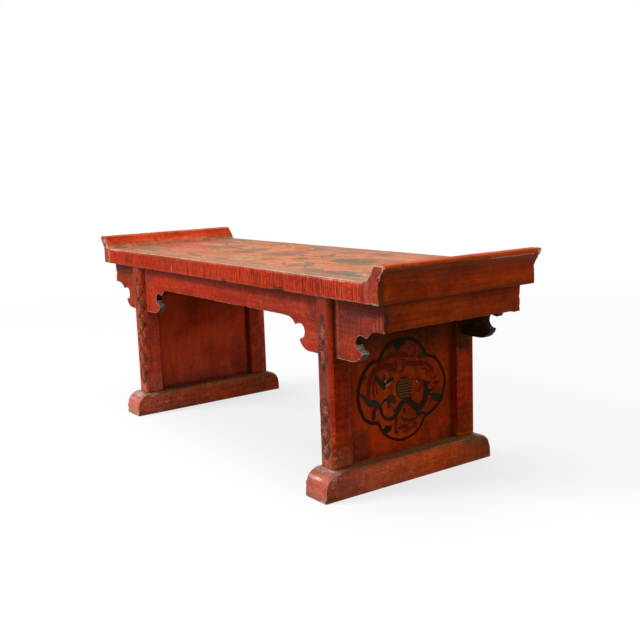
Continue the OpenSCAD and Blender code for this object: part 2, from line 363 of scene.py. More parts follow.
def worn(recipe, look, colour, roughness):
    # paint rubbed through along the edges, with a dirty margin beside it
    reach = recipe.astray(recipe.attribute("edge"), recipe.noise(38, rough=0.7, shift=2), 0.5)
    reach = recipe.astray(reach, recipe.noise(260, detail=3, rough=0.7, shift=4), 0.4)
    limit = look["wearLimit"]
    margin = recipe.between(reach, limit - 0.3, limit, 0, look["margin"])
    colour = recipe.mix(margin, colour, tint(*look["dark"]))
    bare = recipe.between(reach, limit, limit + 0.12, 0, look["bare"])
    colour = recipe.mix(bare, colour, tint(*look["ground"]))
    spread = recipe.between(recipe.noise(30, detail=2, shift=9), 0.6, 0.68)
    chips = recipe.times(recipe.between(recipe.cells(95), 0.1, 0.06), spread)
    colour = recipe.mix(recipe.times(chips, look["chips"]), colour, cream)
    return colour, recipe.plus(roughness, recipe.times(bare, 0.15), clamp=True)


def dusted(recipe, look, colour):
    # grey dust that settles in patches
    amount = recipe.noise(22, detail=6, rough=0.65, shift=6)
    speck = recipe.noise(420, detail=3, rough=0.7, shift=7)
    share = recipe.times(recipe.between(amount, 0.32, 0.66), look["dust"])
    share = recipe.times(share, recipe.between(speck, 0.3, 0.7, 0.7, 1.2), clamp=True)
    return recipe.mix(share, colour, tint(*look["dustColour"]))


def bandedDirtAndShade(recipe, look, colour):
    # bands of another tone, alike on both sides: axis, middle, half width, colour, share, perhaps two
    # heights; some are dirt and some are painted shade
    fray = 3
    ragged = recipe.noise(60)
    for axis, middle, half, tone, share, *level in look["dirtAndShadeBands"]:
        value = recipe.axis(axis) if axis == 2 else recipe.absolute(recipe.axis(axis))
        off = recipe.astray(recipe.absolute(recipe.minus(value, middle * mm)), ragged, half * mm)
        share = recipe.between(off, half * mm, half * 0.35 * mm, 0, share)
        if level:
            low, high = level
            height = recipe.axis(2)
            window = recipe.times(recipe.between(height, low * mm, (low + fray) * mm),
                                  recipe.between(height, high * mm, (high - fray) * mm))
            share = recipe.times(share, window)
        colour = recipe.mix(share, colour, tint(*tone))
    return colour


def blotched(recipe, look, colour):
    # ragged patches of another tone: middle and reach in millimetres, colour, share
    rim = 1.05
    ragged = recipe.minus(recipe.noise(45, detail=6, rough=0.7, shift=8), 0.5)
    ragged = recipe.astray(ragged, recipe.noise(230, rough=0.75, shift=18), look["frayed"])
    for middle, reach, tone, share in look["blotches"]:
        mapping = recipe.node("ShaderNodeMapping", {
            "Vector": recipe.place, "Location": [value * mm for value in middle],
            "Scale": [value * mm for value in reach]}, vector_type="TEXTURE")
        length = recipe.node("ShaderNodeVectorMath", {0: mapping.outputs[0]}, operation="LENGTH")
        away = recipe.plus(length.outputs["Value"], recipe.times(ragged, look["ragged"]))
        colour = recipe.mix(recipe.between(away, rim, rim - look["soft"], 0, share), colour, tint(*tone))
    return colour


def lacquer(name, look):
    recipe = Recipe(name)
    colour, roughness, height = lacquerLayers(recipe, look)
    colour, roughness = worn(recipe, look, colour, roughness)
    return recipe.finish(colour, roughness, height, look)


def paintOn(name, look, keep):
    # brush paint over the same lacquer, rubbed off at its edges and in patches
    recipe = Recipe(name)
    colour, roughness, height = lacquerLayers(recipe, look)
    across = recipe.absolute(recipe.attribute("across"))
    fine = recipe.noise(650, detail=3, rough=0.75, shift=12)
    body = recipe.plus(recipe.noise(70, detail=5, rough=0.7, shift=11), recipe.times(fine, 0.9))
    body = recipe.minus(body, recipe.times(recipe.sum("POWER", across, 3.0), keep["edgeLoss"]))
    share = recipe.between(body, keep["from"], keep["to"], 0, keep["cover"])
    tone = recipe.grey(recipe.between(fine, 0.3, 0.7, 0.8, 1.2))
    paint = recipe.shaded(recipe.attribute("paint", "Color"), tone)
    return recipe.finish(recipe.mix(share, colour, paint), roughness, height, look)


def topPatches(*rows):
    # patches on the top board: x, y, their reach, colour, share
    return [((x, y, 233), (wide, deep, 9), colour, share) for x, y, wide, deep, colour, share in rows]


# what every finish has unless it says otherwise
usualLook = {
    "gloss": 0.03, "coat": 0.0, "bump": 0.5, "smooth": 0.38, "matt": 0.6, "figure": 0.25, "rubbed": 0.4,
    "stain": 0.6, "mottle": 0.6, "hue": 0.5, "wearLimit": 0.9, "margin": 0.35, "bare": 0.8,
    "ground": (206, 160, 128), "chips": 0.3, "dirtAndShadeBands": (), "blotches": (), "ragged": 1.1, "frayed": 0.5,
    "soft": 0.45,
}
looks = {
    "front": {
        "base": (193, 45, 14), "dark": (154, 31, 8), "light": (222, 75, 33), "grain": "x",
        "tones": {"axis": 0, "wander": 20, "stops": (
            (-300, (185, 47, 13)), (-200, (176, 44, 11)), (-110, (191, 51, 17)), (40, (189, 47, 16)),
            (160, (196, 54, 25)), (290, (209, 67, 38)))},
        "streaks": {"scale": 420, "stretch": (1, 0.2, 0.05), "from": -0.099, "pale": 0.4, "deep": 0.5},
        "figure": 0.1, "wearLimit": 0.86, "bare": 0.6, "ground": (176, 118, 92), "stain": 0.5,
        "dirtAndShadeBands": (
            (0, 303.5, 5.5, (170, 92, 70), 0.45), (2, 231.8, 2.5, (196, 98, 76), 0.5),
            (2, 212, 2.5, (160, 84, 60), 0.45)),
        "blotches": (
            ((250, -106, 233), (150, 4, 3.0), (232, 188, 158), 0.85),
            ((30, -106, 233), (150, 4, 1.8), (222, 160, 130), 0.6),
            ((-280, -106, 233), (60, 4, 2.4), (236, 196, 168), 0.8),
            ((35, -106, 213), (9, 4, 3), (74, 30, 24), 0.8),
            ((153, -106, 213), (14, 4, 3), (64, 28, 22), 0.85),
            ((-236, -106, 219), (16, 4, 6), (120, 34, 12), 0.6),
            ((-303, 0, 222), (5, 300, 13), (216, 166, 140), 0.45),
            ((306, 0, 222), (14, 300, 16), (172, 60, 38), 0.8),
            ((262, -106, 212), (48, 4, 1.5), (196, 164, 122), 0.65))},
    "top": {
        "base": (220, 128, 75), "dark": (198, 104, 53), "light": (235, 154, 101), "grain": "x",
        "gloss": 0.12, "figure": 0.2, "soft": 0.13, "ragged": 1.3, "dust": 0.18,
        "dustColour": (190, 142, 108), "smooth": 0.42, "matt": 0.62, "margin": 0.1,
        "ground": (232, 196, 160), "bare": 0.6, "wearLimit": 0.88, "mottle": 0.95,
        "streaks": {"scale": 260, "stretch": (0.35, 1, 1), "pale": 0.12, "deep": 0.2},
        "dirtAndShadeBands": (
            (1, 94, 15, (178, 132, 100), 0.5), (1, 106, 1.8, (234, 192, 160), 0.7),
            (0, 300, 5, (128, 100, 70), 0.6)),
        "blotches": topPatches(
            (-232, -14, 72, 34, (208, 86, 46), 0.9), (-285, 12, 32, 36, (196, 94, 62), 0.8),
            (-262, 52, 50, 20, (176, 92, 68), 0.75), (-272, 90, 50, 20, (162, 110, 80), 0.75),
            (-240, 90, 16, 11, (150, 118, 76), 0.7), (-286, -46, 34, 18, (162, 108, 76), 0.8),
            (-246, -74, 42, 16, (168, 86, 62), 0.75), (-178, -50, 44, 36, (214, 104, 60), 0.75),
            (-164, 10, 32, 18, (148, 120, 104), 0.9), (-186, -2, 20, 16, (178, 100, 80), 0.7),
            (-88, 18, 21, 20, (146, 110, 70), 0.85), (-74, -12, 19, 13, (136, 100, 66), 0.85),
            (-134, 74, 17, 12, (168, 112, 72), 0.7), (-6, 8, 30, 30, (168, 106, 72), 0.75),
            (-8, 70, 34, 20, (174, 116, 80), 0.8), (2, -62, 34, 24, (184, 112, 62), 0.9),
            (8, -62, 19, 12, (220, 176, 96), 0.9), (-20, -76, 12, 7, (138, 110, 74), 0.85),
            (34, -44, 12, 8, (142, 104, 72), 0.85), (-132, -54, 12, 13, (184, 94, 58), 0.7),
            (64, 20, 14, 14, (138, 110, 76), 0.8), (66, -18, 17, 10, (140, 102, 74), 0.8),
            (126, 4, 18, 21, (112, 96, 64), 0.92), (152, -2, 24, 19, (124, 102, 70), 0.9),
            (178, -10, 17, 16, (160, 108, 74), 0.75), (122, -56, 18, 13, (152, 104, 66), 0.85),
            (224, -76, 24, 14, (122, 102, 66), 0.9), (188, -84, 17, 10, (156, 106, 68), 0.75),
            (116, 68, 20, 13, (176, 110, 76), 0.8), (172, 34, 16, 14, (182, 100, 62), 0.7),
            (250, -70, 22, 22, (164, 112, 78), 0.7), (262, -40, 30, 7, (150, 98, 70), 0.8),
            (-286, -88, 26, 8, (128, 92, 70), 0.8), (-250, -96, 50, 6, (176, 96, 72), 0.7),
            (240, -97, 60, 8, (184, 124, 94), 0.7))},
    "under": {
        "base": (72, 36, 24), "dark": (40, 20, 14), "light": (104, 62, 42), "grain": "x", "figure": 0.4,
        "dust": 0.3, "dustColour": (96, 70, 54), "bare": 0.4, "matt": 0.85},
    "apron": {
        "base": (170, 43, 17), "dark": (143, 33, 10), "light": (197, 70, 38), "grain": "x", "gloss": 0.04,
        "tones": {"axis": 0, "wander": 10, "stops": (
            (-305, (145, 42, 10)), (-240, (151, 44, 10)), (-205, (157, 44, 14)), (-170, (171, 42, 12)),
            (0, (171, 42, 17)), (110, (166, 51, 29)), (200, (160, 53, 35)), (245, (137, 48, 31)),
            (312, (145, 55, 35)))},
        "streaks": {"scale": 330, "stretch": (1, 1, 0.12), "from": 0.27, "pale": 0.5, "deep": 0.5},
        "figure": 0.12, "wearLimit": 0.87, "ground": (204, 146, 118),
        "dirtAndShadeBands": (
            # the first band, dark along the top, is painted shadow under the overhang of the top board
            (2, 206, 9, (104, 30, 12), 0.65), (0, 200, 18, (104, 42, 34), 0.35, 184, 216),
            (0, 239.4, 2.7, (158, 82, 52), 0.55), (0, 208, 3, (172, 86, 56), 0.3)),
        "blotches": (
            # this dark patch along the top is painted shadow under the top board
            ((285, 0, 203), (52, 300, 9), (80, 37, 31), 0.8),
            ((262, 0, 192), (20, 300, 9), (102, 45, 37), 0.6),
            ((266, 0, 160), (30, 300, 19), (162, 52, 30), 0.75),
            # these two dark patches along the top on the left are painted shadow under the top board
            ((-275, 0, 203), (45, 300, 8), (92, 32, 8), 0.75),
            ((-304, 0, 205), (10, 300, 8), (58, 34, 12), 0.8),
            ((-262, 0, 168), (24, 300, 22), (176, 52, 14), 0.6),
            ((292, 0, 191), (22, 300, 6), (166, 60, 48), 0.6),
            ((150, 0, 192), (60, 300, 9), (188, 60, 36), 0.6),
            ((190, 0, 164), (26, 300, 19), (180, 54, 30), 0.8),
            ((-188, 0, 172), (26, 300, 26), (184, 50, 20), 0.75))},
    "end": {
        "base": (142, 47, 1), "dark": (112, 34, 1), "light": (167, 68, 4), "grain": "y",
        "tones": {"axis": 2, "wander": 1.2, "stops": (
            (182, (114, 38, 2)), (190, (142, 47, 1)), (199, (141, 47, 1)), (208, (119, 39, 1)),
            # the dark dip at about 211 mm is a painted shadow line under the everted end
            (209.6, (107, 35, 2)), (211.2, (60, 23, 1)), (212.4, (115, 37, 1)), (216, (140, 47, 1)),
            (223, (154, 50, 1)), (231, (135, 43, 1)), (239, (114, 34, 1)), (242.6, (119, 45, 2)),
            (244.2, (113, 55, 6)), (245.2, (136, 55, 12)), (246.4, (168, 51, 7)),
            (249.8, (196, 85, 25)))},
        "streaks": {"scale": 300, "stretch": (1, 0.05, 1), "pale": 0.14, "deep": 0.25},
        "figure": 0.14, "ground": (150, 112, 82), "bare": 0.6, "margin": 0.5, "mottle": 0.35,
        "stain": 0.3, "hue": 0.3, "chips": 0.08, "frayed": 1.4,
        "blotches": (
            ((330, 104, 247), (9, 5, 2.4), (206, 176, 140), 0.6),
            # these two dark patches are painted shade on the rounded front corners of the everted end and of
            # the end apron
            ((322, -105, 226), (9, 7, 20), (66, 34, 12), 0.75),
            ((313, -92, 197), (6, 6, 20), (62, 36, 12), 0.75),
            ((327, -84, 246), (9, 26, 3), (112, 38, 12), 0.65),
            ((326, -82, 243.2), (9, 30, 1.2), (50, 34, 12), 0.75),
            ((331, -105, 247.5), (4, 1.2, 1.6), (226, 206, 178), 0.4),
            ((327, 62, 244.6), (9, 44, 0.7), (190, 150, 108), 0.55),
            ((327, -40, 244.6), (9, 64, 0.9), (84, 50, 18), 0.8))},
    "ramp": {
        "base": (231, 87, 44), "dark": (202, 67, 29), "light": (241, 110, 66), "grain": "y", "gloss": 0.0,
        "tones": {"axis": 2, "wander": 1.0, "stops": (
            (233, (202, 145, 136)), (235, (216, 129, 107)), (239, (233, 105, 67)), (243, (229, 82, 37)),
            (248, (211, 71, 31)), (250.2, (227, 109, 83)))},
        "ground": (222, 196, 170), "wearLimit": 0.88, "bare": 0.5, "hue": 0.3,
        "dirtAndShadeBands": (
            (0, 301, 2.2, (104, 86, 58), 0.8), (1, 105, 3, (214, 130, 96), 0.4))},
    "endFace": {
        "base": (177, 58, 33), "dark": (142, 42, 21), "light": (207, 102, 69), "grain": "z",
        "gloss": 0.06, "figure": 0.07, "ground": (206, 150, 124), "bare": 0.5, "soft": 0.3,
        "dirtAndShadeBands": (
            (0, 303.5, 5.5, (170, 92, 70), 0.45), (2, 212, 2.4, (160, 120, 92), 0.6)),
        "frayed": 1.4,
        "blotches": (
            ((318, 0, 242), (9, 300, 7), (146, 66, 46), 0.8),
            ((322, 0, 250.4), (12, 300, 2.2), (236, 212, 184), 0.85),
            ((329.5, 0, 245), (2.6, 300, 6), (232, 206, 176), 0.85),
            ((322, 0, 226), (1.8, 300, 14), (112, 72, 40), 0.7),
            ((311, 0, 232), (4, 300, 14), (150, 52, 34), 0.5),
            ((316, 0, 212.3), (9, 300, 1.8), (226, 204, 180), 0.8),
            ((322.5, 0, 237), (1.6, 300, 4), (206, 170, 138), 0.55),
            ((-306, 0, 236), (8, 300, 4), (228, 178, 150), 0.8),
            ((-317, 0, 243), (9, 300, 4), (226, 180, 150), 0.6),
            ((-324, 0, 238), (6, 300, 9), (92, 50, 38), 0.7),
            ((-303, 0, 222), (5, 300, 13), (216, 166, 140), 0.45))},
    # pale grey: dust, and painted light on the lips that face up
    "lip": {
        "base": (140, 128, 112), "dark": (84, 70, 56), "light": (206, 196, 182), "grain": "y",
        "figure": 0.2, "hue": 0.1, "bare": 0.5, "ground": (214, 202, 186), "mottle": 0.9},
    "wall": {
        "base": (72, 62, 50), "dark": (34, 26, 18), "light": (118, 106, 92), "grain": "y", "figure": 0.3,
        "hue": 0.1, "bare": 0.7, "stain": 0.8, "wearLimit": 0.8, "ground": (178, 166, 150), "mottle": 0.9,
        "frayed": 1.2,
        "blotches": (
            ((-176, -90, 163), (12, 9, 5), (176, 166, 150), 0.8),
            ((-176, -84, 168), (12, 9, 5), (120, 110, 96), 0.6))},
    # near black: painted shade inside the spandrel notches and on the back spandrels
    "hollow": {
        "base": (36, 20, 13), "dark": (22, 12, 8), "light": (58, 38, 26), "grain": "y", "figure": 0.3,
        "hue": 0.1, "bare": 0.2, "margin": 0.1},
    "bare": {
        "base": (46, 26, 16), "dark": (24, 15, 10), "light": (74, 48, 34), "grain": "x", "figure": 0.4,
        "matt": 0.85, "bare": 0.5, "ground": (110, 84, 64)},
    "postFront": {
        "base": (154, 46, 22), "dark": (125, 35, 16), "light": (181, 74, 45), "grain": "z",
        "tones": {"axis": 2, "wander": 4, "stops": (
            (30, (176, 87, 60)), (48, (164, 81, 54)), (70, (162, 69, 41)), (104, (160, 68, 42)),
            (111, (140, 62, 43)), (131, (137, 59, 42)), (139, (156, 58, 37)), (185, (154, 49, 25)),
            (196, (165, 43, 17)), (211, (138, 44, 22)))},
        "figure": 0.14, "gloss": 0.08, "wearLimit": 0.92, "bare": 0.5,
        "blotches": (
            ((-224, -101, 112), (16, 4, 104), (210, 80, 38), 0.9),
            ((-224, -101, 180), (16, 4, 34), (146, 42, 8), 0.9),
            ((-222, -101, 38), (16, 4, 12), (192, 96, 68), 0.7),
            ((214, -101, 60), (3, 4, 36), (186, 74, 74), 0.5))},
    "postSide": {
        "base": (144, 35, 1), "dark": (112, 25, 1), "light": (169, 59, 3), "grain": "z",
        "tones": {"axis": 2, "wander": 7, "stops": (
            (30, (157, 69, 11)), (42, (151, 55, 5)), (58, (146, 41, 2)), (80, (151, 34, 1)),
            # the tones darken upwards as painted shade under the top board
            (100, (144, 32, 1)), (125, (127, 32, 1)), (150, (94, 27, 1)), (211, (66, 21, 1)))},
        "figure": 0.14, "wearLimit": 0.94, "bare": 0.4, "rubbed": 0.2,
        "streaks": {"scale": 300, "stretch": (1, 0.06, 1), "from": 0.19, "pale": 0.2, "deep": 0.35},
        "blotches": (
            ((-213, 0, 80), (5, 300, 90), (192, 66, 42), 0.85),
            # this lighter strip beside the apron is painted light, set against the shade that falls there
            ((-213, -98, 175), (5, 7, 60), (178, 66, 42), 0.9),
            ((-213, -84, 42), (5, 22, 18), (180, 82, 66), 0.7),
            ((-213, 84, 84), (5, 14, 70), (166, 55, 21), 0.85),
            ((-213, 84, 165), (5, 14, 56), (110, 38, 12), 0.9),
            ((235, 85, 146), (5, 14, 22), (64, 25, 2), 0.95),
            ((235, 85, 108), (5, 14, 24), (154, 46, 1), 0.6),
            ((235, 85, 48), (5, 14, 22), (116, 32, 1), 0.85),
            # this lighter strip beside the apron is painted light, set against the shade that falls there
            ((235, -98, 185), (5, 7, 44), (118, 44, 20), 0.9),
            ((235, -77, 66), (5, 5, 62), (136, 44, 24), 0.55),
            ((235, -87, 40), (5, 16, 14), (150, 66, 44), 0.65))},
    "postCorner": {
        "base": (163, 46, 3), "dark": (134, 32, 2), "light": (185, 77, 16), "grain": "z",
        "tones": {"axis": 2, "wander": 6, "stops": (
            (30, (152, 81, 40)), (46, (165, 59, 16)), (66, (183, 46, 2)), (170, (179, 47, 2)),
            # darker at the top: painted shade under the apron
            (196, (148, 48, 8)), (211, (98, 40, 8)))},
        "figure": 0.16, "gloss": 0.12, "wearLimit": 0.95, "bare": 0.5, "ragged": 1.8, "frayed": 1.2,
        "blotches": (
            ((236, -97, 38), (3.4, 3, 3.4), (70, 28, 14), 0.75),
            ((235, -98, 47), (2.6, 2.4, 4.2), (76, 26, 12), 0.75),
            ((234, -99, 42.5), (3, 2.6, 2), (196, 106, 62), 0.6),
            ((235, -98, 56), (1.8, 1.6, 3.6), (92, 30, 14), 0.7),
            ((234, -99, 62), (2, 1.6, 5), (206, 98, 50), 0.5),
            ((236, -97, 71), (1.6, 1.4, 3), (100, 32, 16), 0.6),
            ((-213, -99, 110), (6, 6, 110), (178, 66, 34), 0.85))},
    "footSide": {
        "base": (187, 74, 38), "dark": (149, 56, 26), "light": (213, 108, 68), "grain": "y",
        "tones": {"axis": 1, "wander": 12, "stops": (
            (-117, (162, 72, 44)), (-92, (170, 78, 56)), (-60, (185, 81, 50)), (-10, (193, 76, 35)),
            (40, (187, 68, 18)), (75, (166, 64, 20)), (112, (135, 58, 22)))},
        "figure": 0.16, "gloss": 0.04, "wearLimit": 0.78, "bare": 0.7, "ground": (206, 152, 118),
        "frayed": 1.2,
        "dirtAndShadeBands": (
            (2, 1, 4, (160, 92, 64), 0.5), (2, 29, 4, (120, 78, 50), 0.45)),
        "blotches": (
            ((0, 92, 26), (600, 30, 9), (104, 66, 38), 0.7),
            ((0, -114, 2), (600, 16, 5), (74, 42, 24), 0.7),
            ((-208, -98, 15), (9, 20, 16), (196, 88, 62), 0.7),
            ((-208, 60, 20), (9, 60, 14), (142, 61, 37), 0.6),
            ((-208, -75, 14), (9, 1.8, 1.4), (216, 164, 134), 0.75),
            # this pale patch is a painted highlight on the left foot's shoulder
            ((-208, -94, 28), (9, 9, 3), (224, 170, 146), 0.7),
            ((245, -104, 26), (6, 9, 4), (190, 132, 108), 0.55),
            ((245, -109, 20), (3, 2, 7), (190, 132, 100), 0.4),
            ((245, -102, 23), (3, 1.2, 5), (72, 36, 22), 0.7),
            ((245, -98, 26), (3, 2.6, 1.4), (84, 44, 28), 0.6))},
    "footFront": {
        "base": (199, 77, 41), "dark": (163, 60, 29), "light": (228, 122, 82), "grain": "x",
        "tones": {"axis": 2, "wander": 1.6, "stops": (
            (0, (158, 91, 55)), (4, (182, 89, 51)), (11, (197, 75, 37)), (18, (210, 75, 41)),
            # the brighter stop at 22 mm is a painted highlight on the bend of the toe
            (22, (217, 91, 67)), (26, (187, 83, 64)), (29.9, (165, 104, 75)))},
        "figure": 0.16, "gloss": 0.25, "coat": 0.2, "dust": 0.15, "dustColour": (190, 140, 120),
        "wearLimit": 0.84, "ground": (206, 162, 128), "smooth": 0.26, "matt": 0.5, "rubbed": 0.6,
        "frayed": 1.4,
        "blotches": (
            # these three pale patches, 22 to 27 mm high, are painted highlights on the toes
            ((220, -116, 22.5), (16, 9, 1.8), (250, 186, 180), 0.75),
            ((-232, -116, 22), (14, 9, 2.2), (226, 150, 136), 0.4),
            ((-228, -106, 27), (16, 7, 5), (232, 172, 154), 0.6),
            ((218, -102, 29), (30, 9, 7), (198, 156, 144), 0.75),
            ((242, -118, 0), (14, 5, 3.5), (222, 186, 150), 0.7),
            ((-208, -118, 2), (8, 5, 4), (212, 170, 136), 0.6))},
    "footTop": {
        "base": (150, 88, 46), "dark": (108, 67, 32), "light": (179, 132, 84), "grain": "y",
        "figure": 0.2, "dust": 0.6, "dustColour": (128, 94, 70), "ground": (190, 150, 120),
        "wearLimit": 0.78, "mottle": 0.9,
        "dirtAndShadeBands": (
            (1, 108, 16, (184, 134, 120), 0.95),)},
    "panel": {
        "base": (146, 45, 11), "dark": (111, 34, 6), "light": (172, 66, 25), "grain": "z",
        "tones": {"axis": 2, "wander": 9, "stops": (
            (28, (163, 50, 15)), (42, (172, 50, 8)), (60, (157, 47, 8)), (100, (144, 44, 10)),
            # the tones fall dark towards the top: painted shadow under the apron
            (130, (132, 42, 11)), (152, (96, 34, 11)), (180, (59, 24, 10)))},
        "figure": 0.12, "gloss": 0.012, "wearLimit": 1.1, "smooth": 0.36, "rubbed": 0.2, "mottle": 0.5,
        "dirtAndShadeBands": (
            # the dark band along the posts is painted shade in the grooves
            (1, 76, 9, (72, 30, 12), 0.7),),
        "blotches": (
            ((227, -60, 42), (4, 17, 26), (92, 42, 24), 0.7),
            ((227, 62, 38), (4, 15, 12), (104, 44, 14), 0.6))},
    "panelInside": {
        "base": (175, 56, 20), "dark": (141, 42, 14), "light": (200, 76, 36), "grain": "z",
        "tones": {"axis": 2, "wander": 12, "stops": (
            (28, (160, 65, 41)), (50, (182, 64, 34)), (75, (186, 60, 25)), (110, (175, 55, 17)),
            (150, (168, 50, 14)), (184, (136, 44, 15)))},
        "figure": 0.1, "gloss": 0.04, "wearLimit": 1.1, "smooth": 0.36, "rubbed": 0.1, "mottle": 0.25,
        "stain": 0.2,
        "dirtAndShadeBands": (
            # the first band, dark along the posts, is painted shade in the grooves
            (1, 76, 7, (64, 22, 8), 0.8), (2, 31, 5, (92, 40, 30), 0.5)),
        "blotches": (
            ((-222, 10, 150), (3, 70, 42), (136, 38, 8), 0.75),
            ((-222, 0, 92), (3, 44, 26), (190, 60, 26), 0.3),
            ((-222, -25, 55), (3, 5.5, 3.8), (88, 66, 32), 0.85),
            ((-222, 56, 60), (3, 16, 44), (122, 38, 18), 0.6))},
    "peg": {
        "base": (116, 48, 26), "dark": (84, 32, 18), "light": (166, 110, 72), "grain": "x", "figure": 0.3,
        "wearLimit": 0.8},
}
for look in looks.values():
    for key, value in usualLook.items():
        look.setdefault(key, value)
finishes = {name: lacquer(name + "Lacquer", look) for name, look in looks.items()}
print("lacquers mixed:", len(finishes))


# worn wooden solids

# what every solid has unless it says otherwise; chips, waves and dents are in millimetres
usualSolid = {"rounding": 1.0 * mm, "fine": 0.5 * mm, "finest": 0.6 * mm, "across": 2.6 * mm,
              "along": 1.6 * mm, "rim": 0.8 * mm, "rimSteps": 4, "cap": 2.6 * mm, "fade": 6, "wavy": 0.14,
              "soft": 0.35, "chipDepth": 0.8, "dents": (), "seed": 0}
rimRows = (0.0, 0.7 * mm, 1.8 * mm, 3.6 * mm)      # finer rows behind a rubbed rim
capRows = (0.8 * mm, 2.2 * mm)                     # finer rows inside an end face
waveScale = 28
sharpTurn = 32      # degrees, from which a corner wears


def closedOutline(corners, spacing, rounding):
    # an outline with its corners rubbed round; the corners come back as well
    corners = np.array(corners, float)
    following = np.roll(corners, -1, axis=0)
    points = []
    for here, there in zip(corners, following):
        count = max(1, int(math.ceil(np.linalg.norm(there - here) / spacing)))
        points += [here + (there - here) * step / count for step in range(count)]
    points = np.array(points)
    before, after = corners - np.roll(corners, 1, axis=0), following - corners
    cross = before[:, 0] * after[:, 1] - before[:, 1] * after[:, 0]
    turn = np.degrees(np.abs(np.arctan2(cross, (before * after).sum(1))))
    sharp = corners[turn > sharpTurn]
    for _ in range(max(1, round(2 * (rounding / (1.9 * spacing)) ** 2))):
        points = 0.5 * points + 0.25 * (np.roll(points, 1, axis=0) + np.roll(points, -1, axis=0))
    return points, sharp


def thinned(points, finest, coarsest):
    # fewer points where the outline runs straight
    before, after = points - np.roll(points, 1, axis=0), np.roll(points, -1, axis=0) - points
    cross = before[:, 0] * after[:, 1] - before[:, 1] * after[:, 0]
    turn = np.abs(np.arctan2(cross, (before * after).sum(1)))
    step = np.linalg.norm(after, axis=1)
    travel = np.concatenate([[0], np.cumsum(step)[:-1]])
    whole = step.sum()
    bends = travel[turn > math.radians(1.0)]
    if len(bends) == 0:
        return points
    gap = np.abs(travel[:, None] - bends[None, :])
    away = np.minimum(gap, whole - gap).min(1)
    start = int(np.argmin(away))
    order = [(start + k) % len(points) for k in range(len(points))]
    kept, since = [order[0]], 0.0
    for k in order[1:]:
        since += step[k - 1]
        if since >= min(coarsest, finest + 0.4 * away[k]):
            kept.append(k)
            since = 0.0
    return points[sorted(kept)]


def closeCorner(point, corners, reach=1.3 * mm):
    # a corner that meets the same face of a neighbour is drawn out sharp, so that the paint runs across it
    point = np.array(point, float)
    for (axis, level), (other, face) in corners:
        off, out = abs(point[axis] - level), abs(point[other] - face)
        if max(off, out) > reach:
            continue
        if off > out:
            point[other] = face
            point[axis] = level + 0.3 * (point[axis] - level)
        else:
            point[axis] = level
            point[other] = face + 0.3 * (point[other] - face)
    return point


def inwards(points):
    along = np.roll(points, -1, axis=0) - np.roll(points, 1, axis=0)
    along /= np.linalg.norm(along, axis=1)[:, None]
    return np.stack([-along[:, 1], along[:, 0]], axis=1)


def isInside(points, ring):
    x, y = points[:, 0][:, None], points[:, 1][:, None]
    x0, y0 = ring[:, 0][None], ring[:, 1][None]
    x1, y1 = np.roll(x0, -1), np.roll(y0, -1)
    crosses = (y0 > y) != (y1 > y)
    slope = (x1 - x0) * (y - y0) / np.where(y1 == y0, 1e-12, y1 - y0) + x0
    return (crosses & (x < slope)).sum(1) % 2 == 1


def distanceTo(points, ring):
    a, b = ring[None], np.roll(ring, -1, axis=0)[None]
    run = b - a
    share = np.clip(((points[:, None] - a) * run).sum(2) / np.maximum((run ** 2).sum(2), 1e-18), 0, 1)
    return np.linalg.norm(points[:, None] - (a + share[..., None] * run), axis=2).min(1)


def capFill(ring, spacing):
    # points and triangles that close the end of a solid, finer towards its rim
    scale = 1000
    low, high = ring.min(0), ring.max(0)
    rows = np.arange(low[1] + spacing / 2, high[1], spacing * 0.87)
    loose = []
    for index, v in enumerate(rows):
        start = low[0] + spacing * (0.25 + 0.5 * (index % 2))
        loose += [(u, v) for u in np.arange(start, high[0], spacing)]
    loose = np.array(loose).reshape(-1, 2)
    loose = loose[isInside(loose, ring)]
    loose = loose[distanceTo(loose, ring) > 2.6 * mm + 0.4 * spacing] if len(loose) else loose
    inner = inwards(ring)
    for depth in capRows:
        row = (ring + inner * depth)[::2]
        row = row[isInside(row, ring)]
        row = row[distanceTo(row, ring) > 0.85 * depth]
        loose = np.vstack([loose, row]) if len(loose) else row
    points = np.vstack([ring, loose]) * scale
    made = delaunay_2d_cdt([Vector(p) for p in points], [], [list(range(len(ring)))], 1, 1e-5)
    places = np.array([(p.x, p.y) for p in made[0]]) / scale
    source = [origins[0] if origins else -1 for origins in made[3]]
    return places, source, made[2]


def stations(start, end, rim, spacing):
    offsets = [rim + row for row in rimRows]
    offsets = [o for o in offsets if o < (end - start) / 2 - 0.3 * mm] or [rim]
    low, high = start + offsets[-1], end - offsets[-1]
    count = max(1, int(round((high - low) / spacing)))
    middle = [low + (high - low) * k / count for k in range(1, count)]
    return [start + o for o in offsets] + middle + [end - o for o in reversed(offsets)]


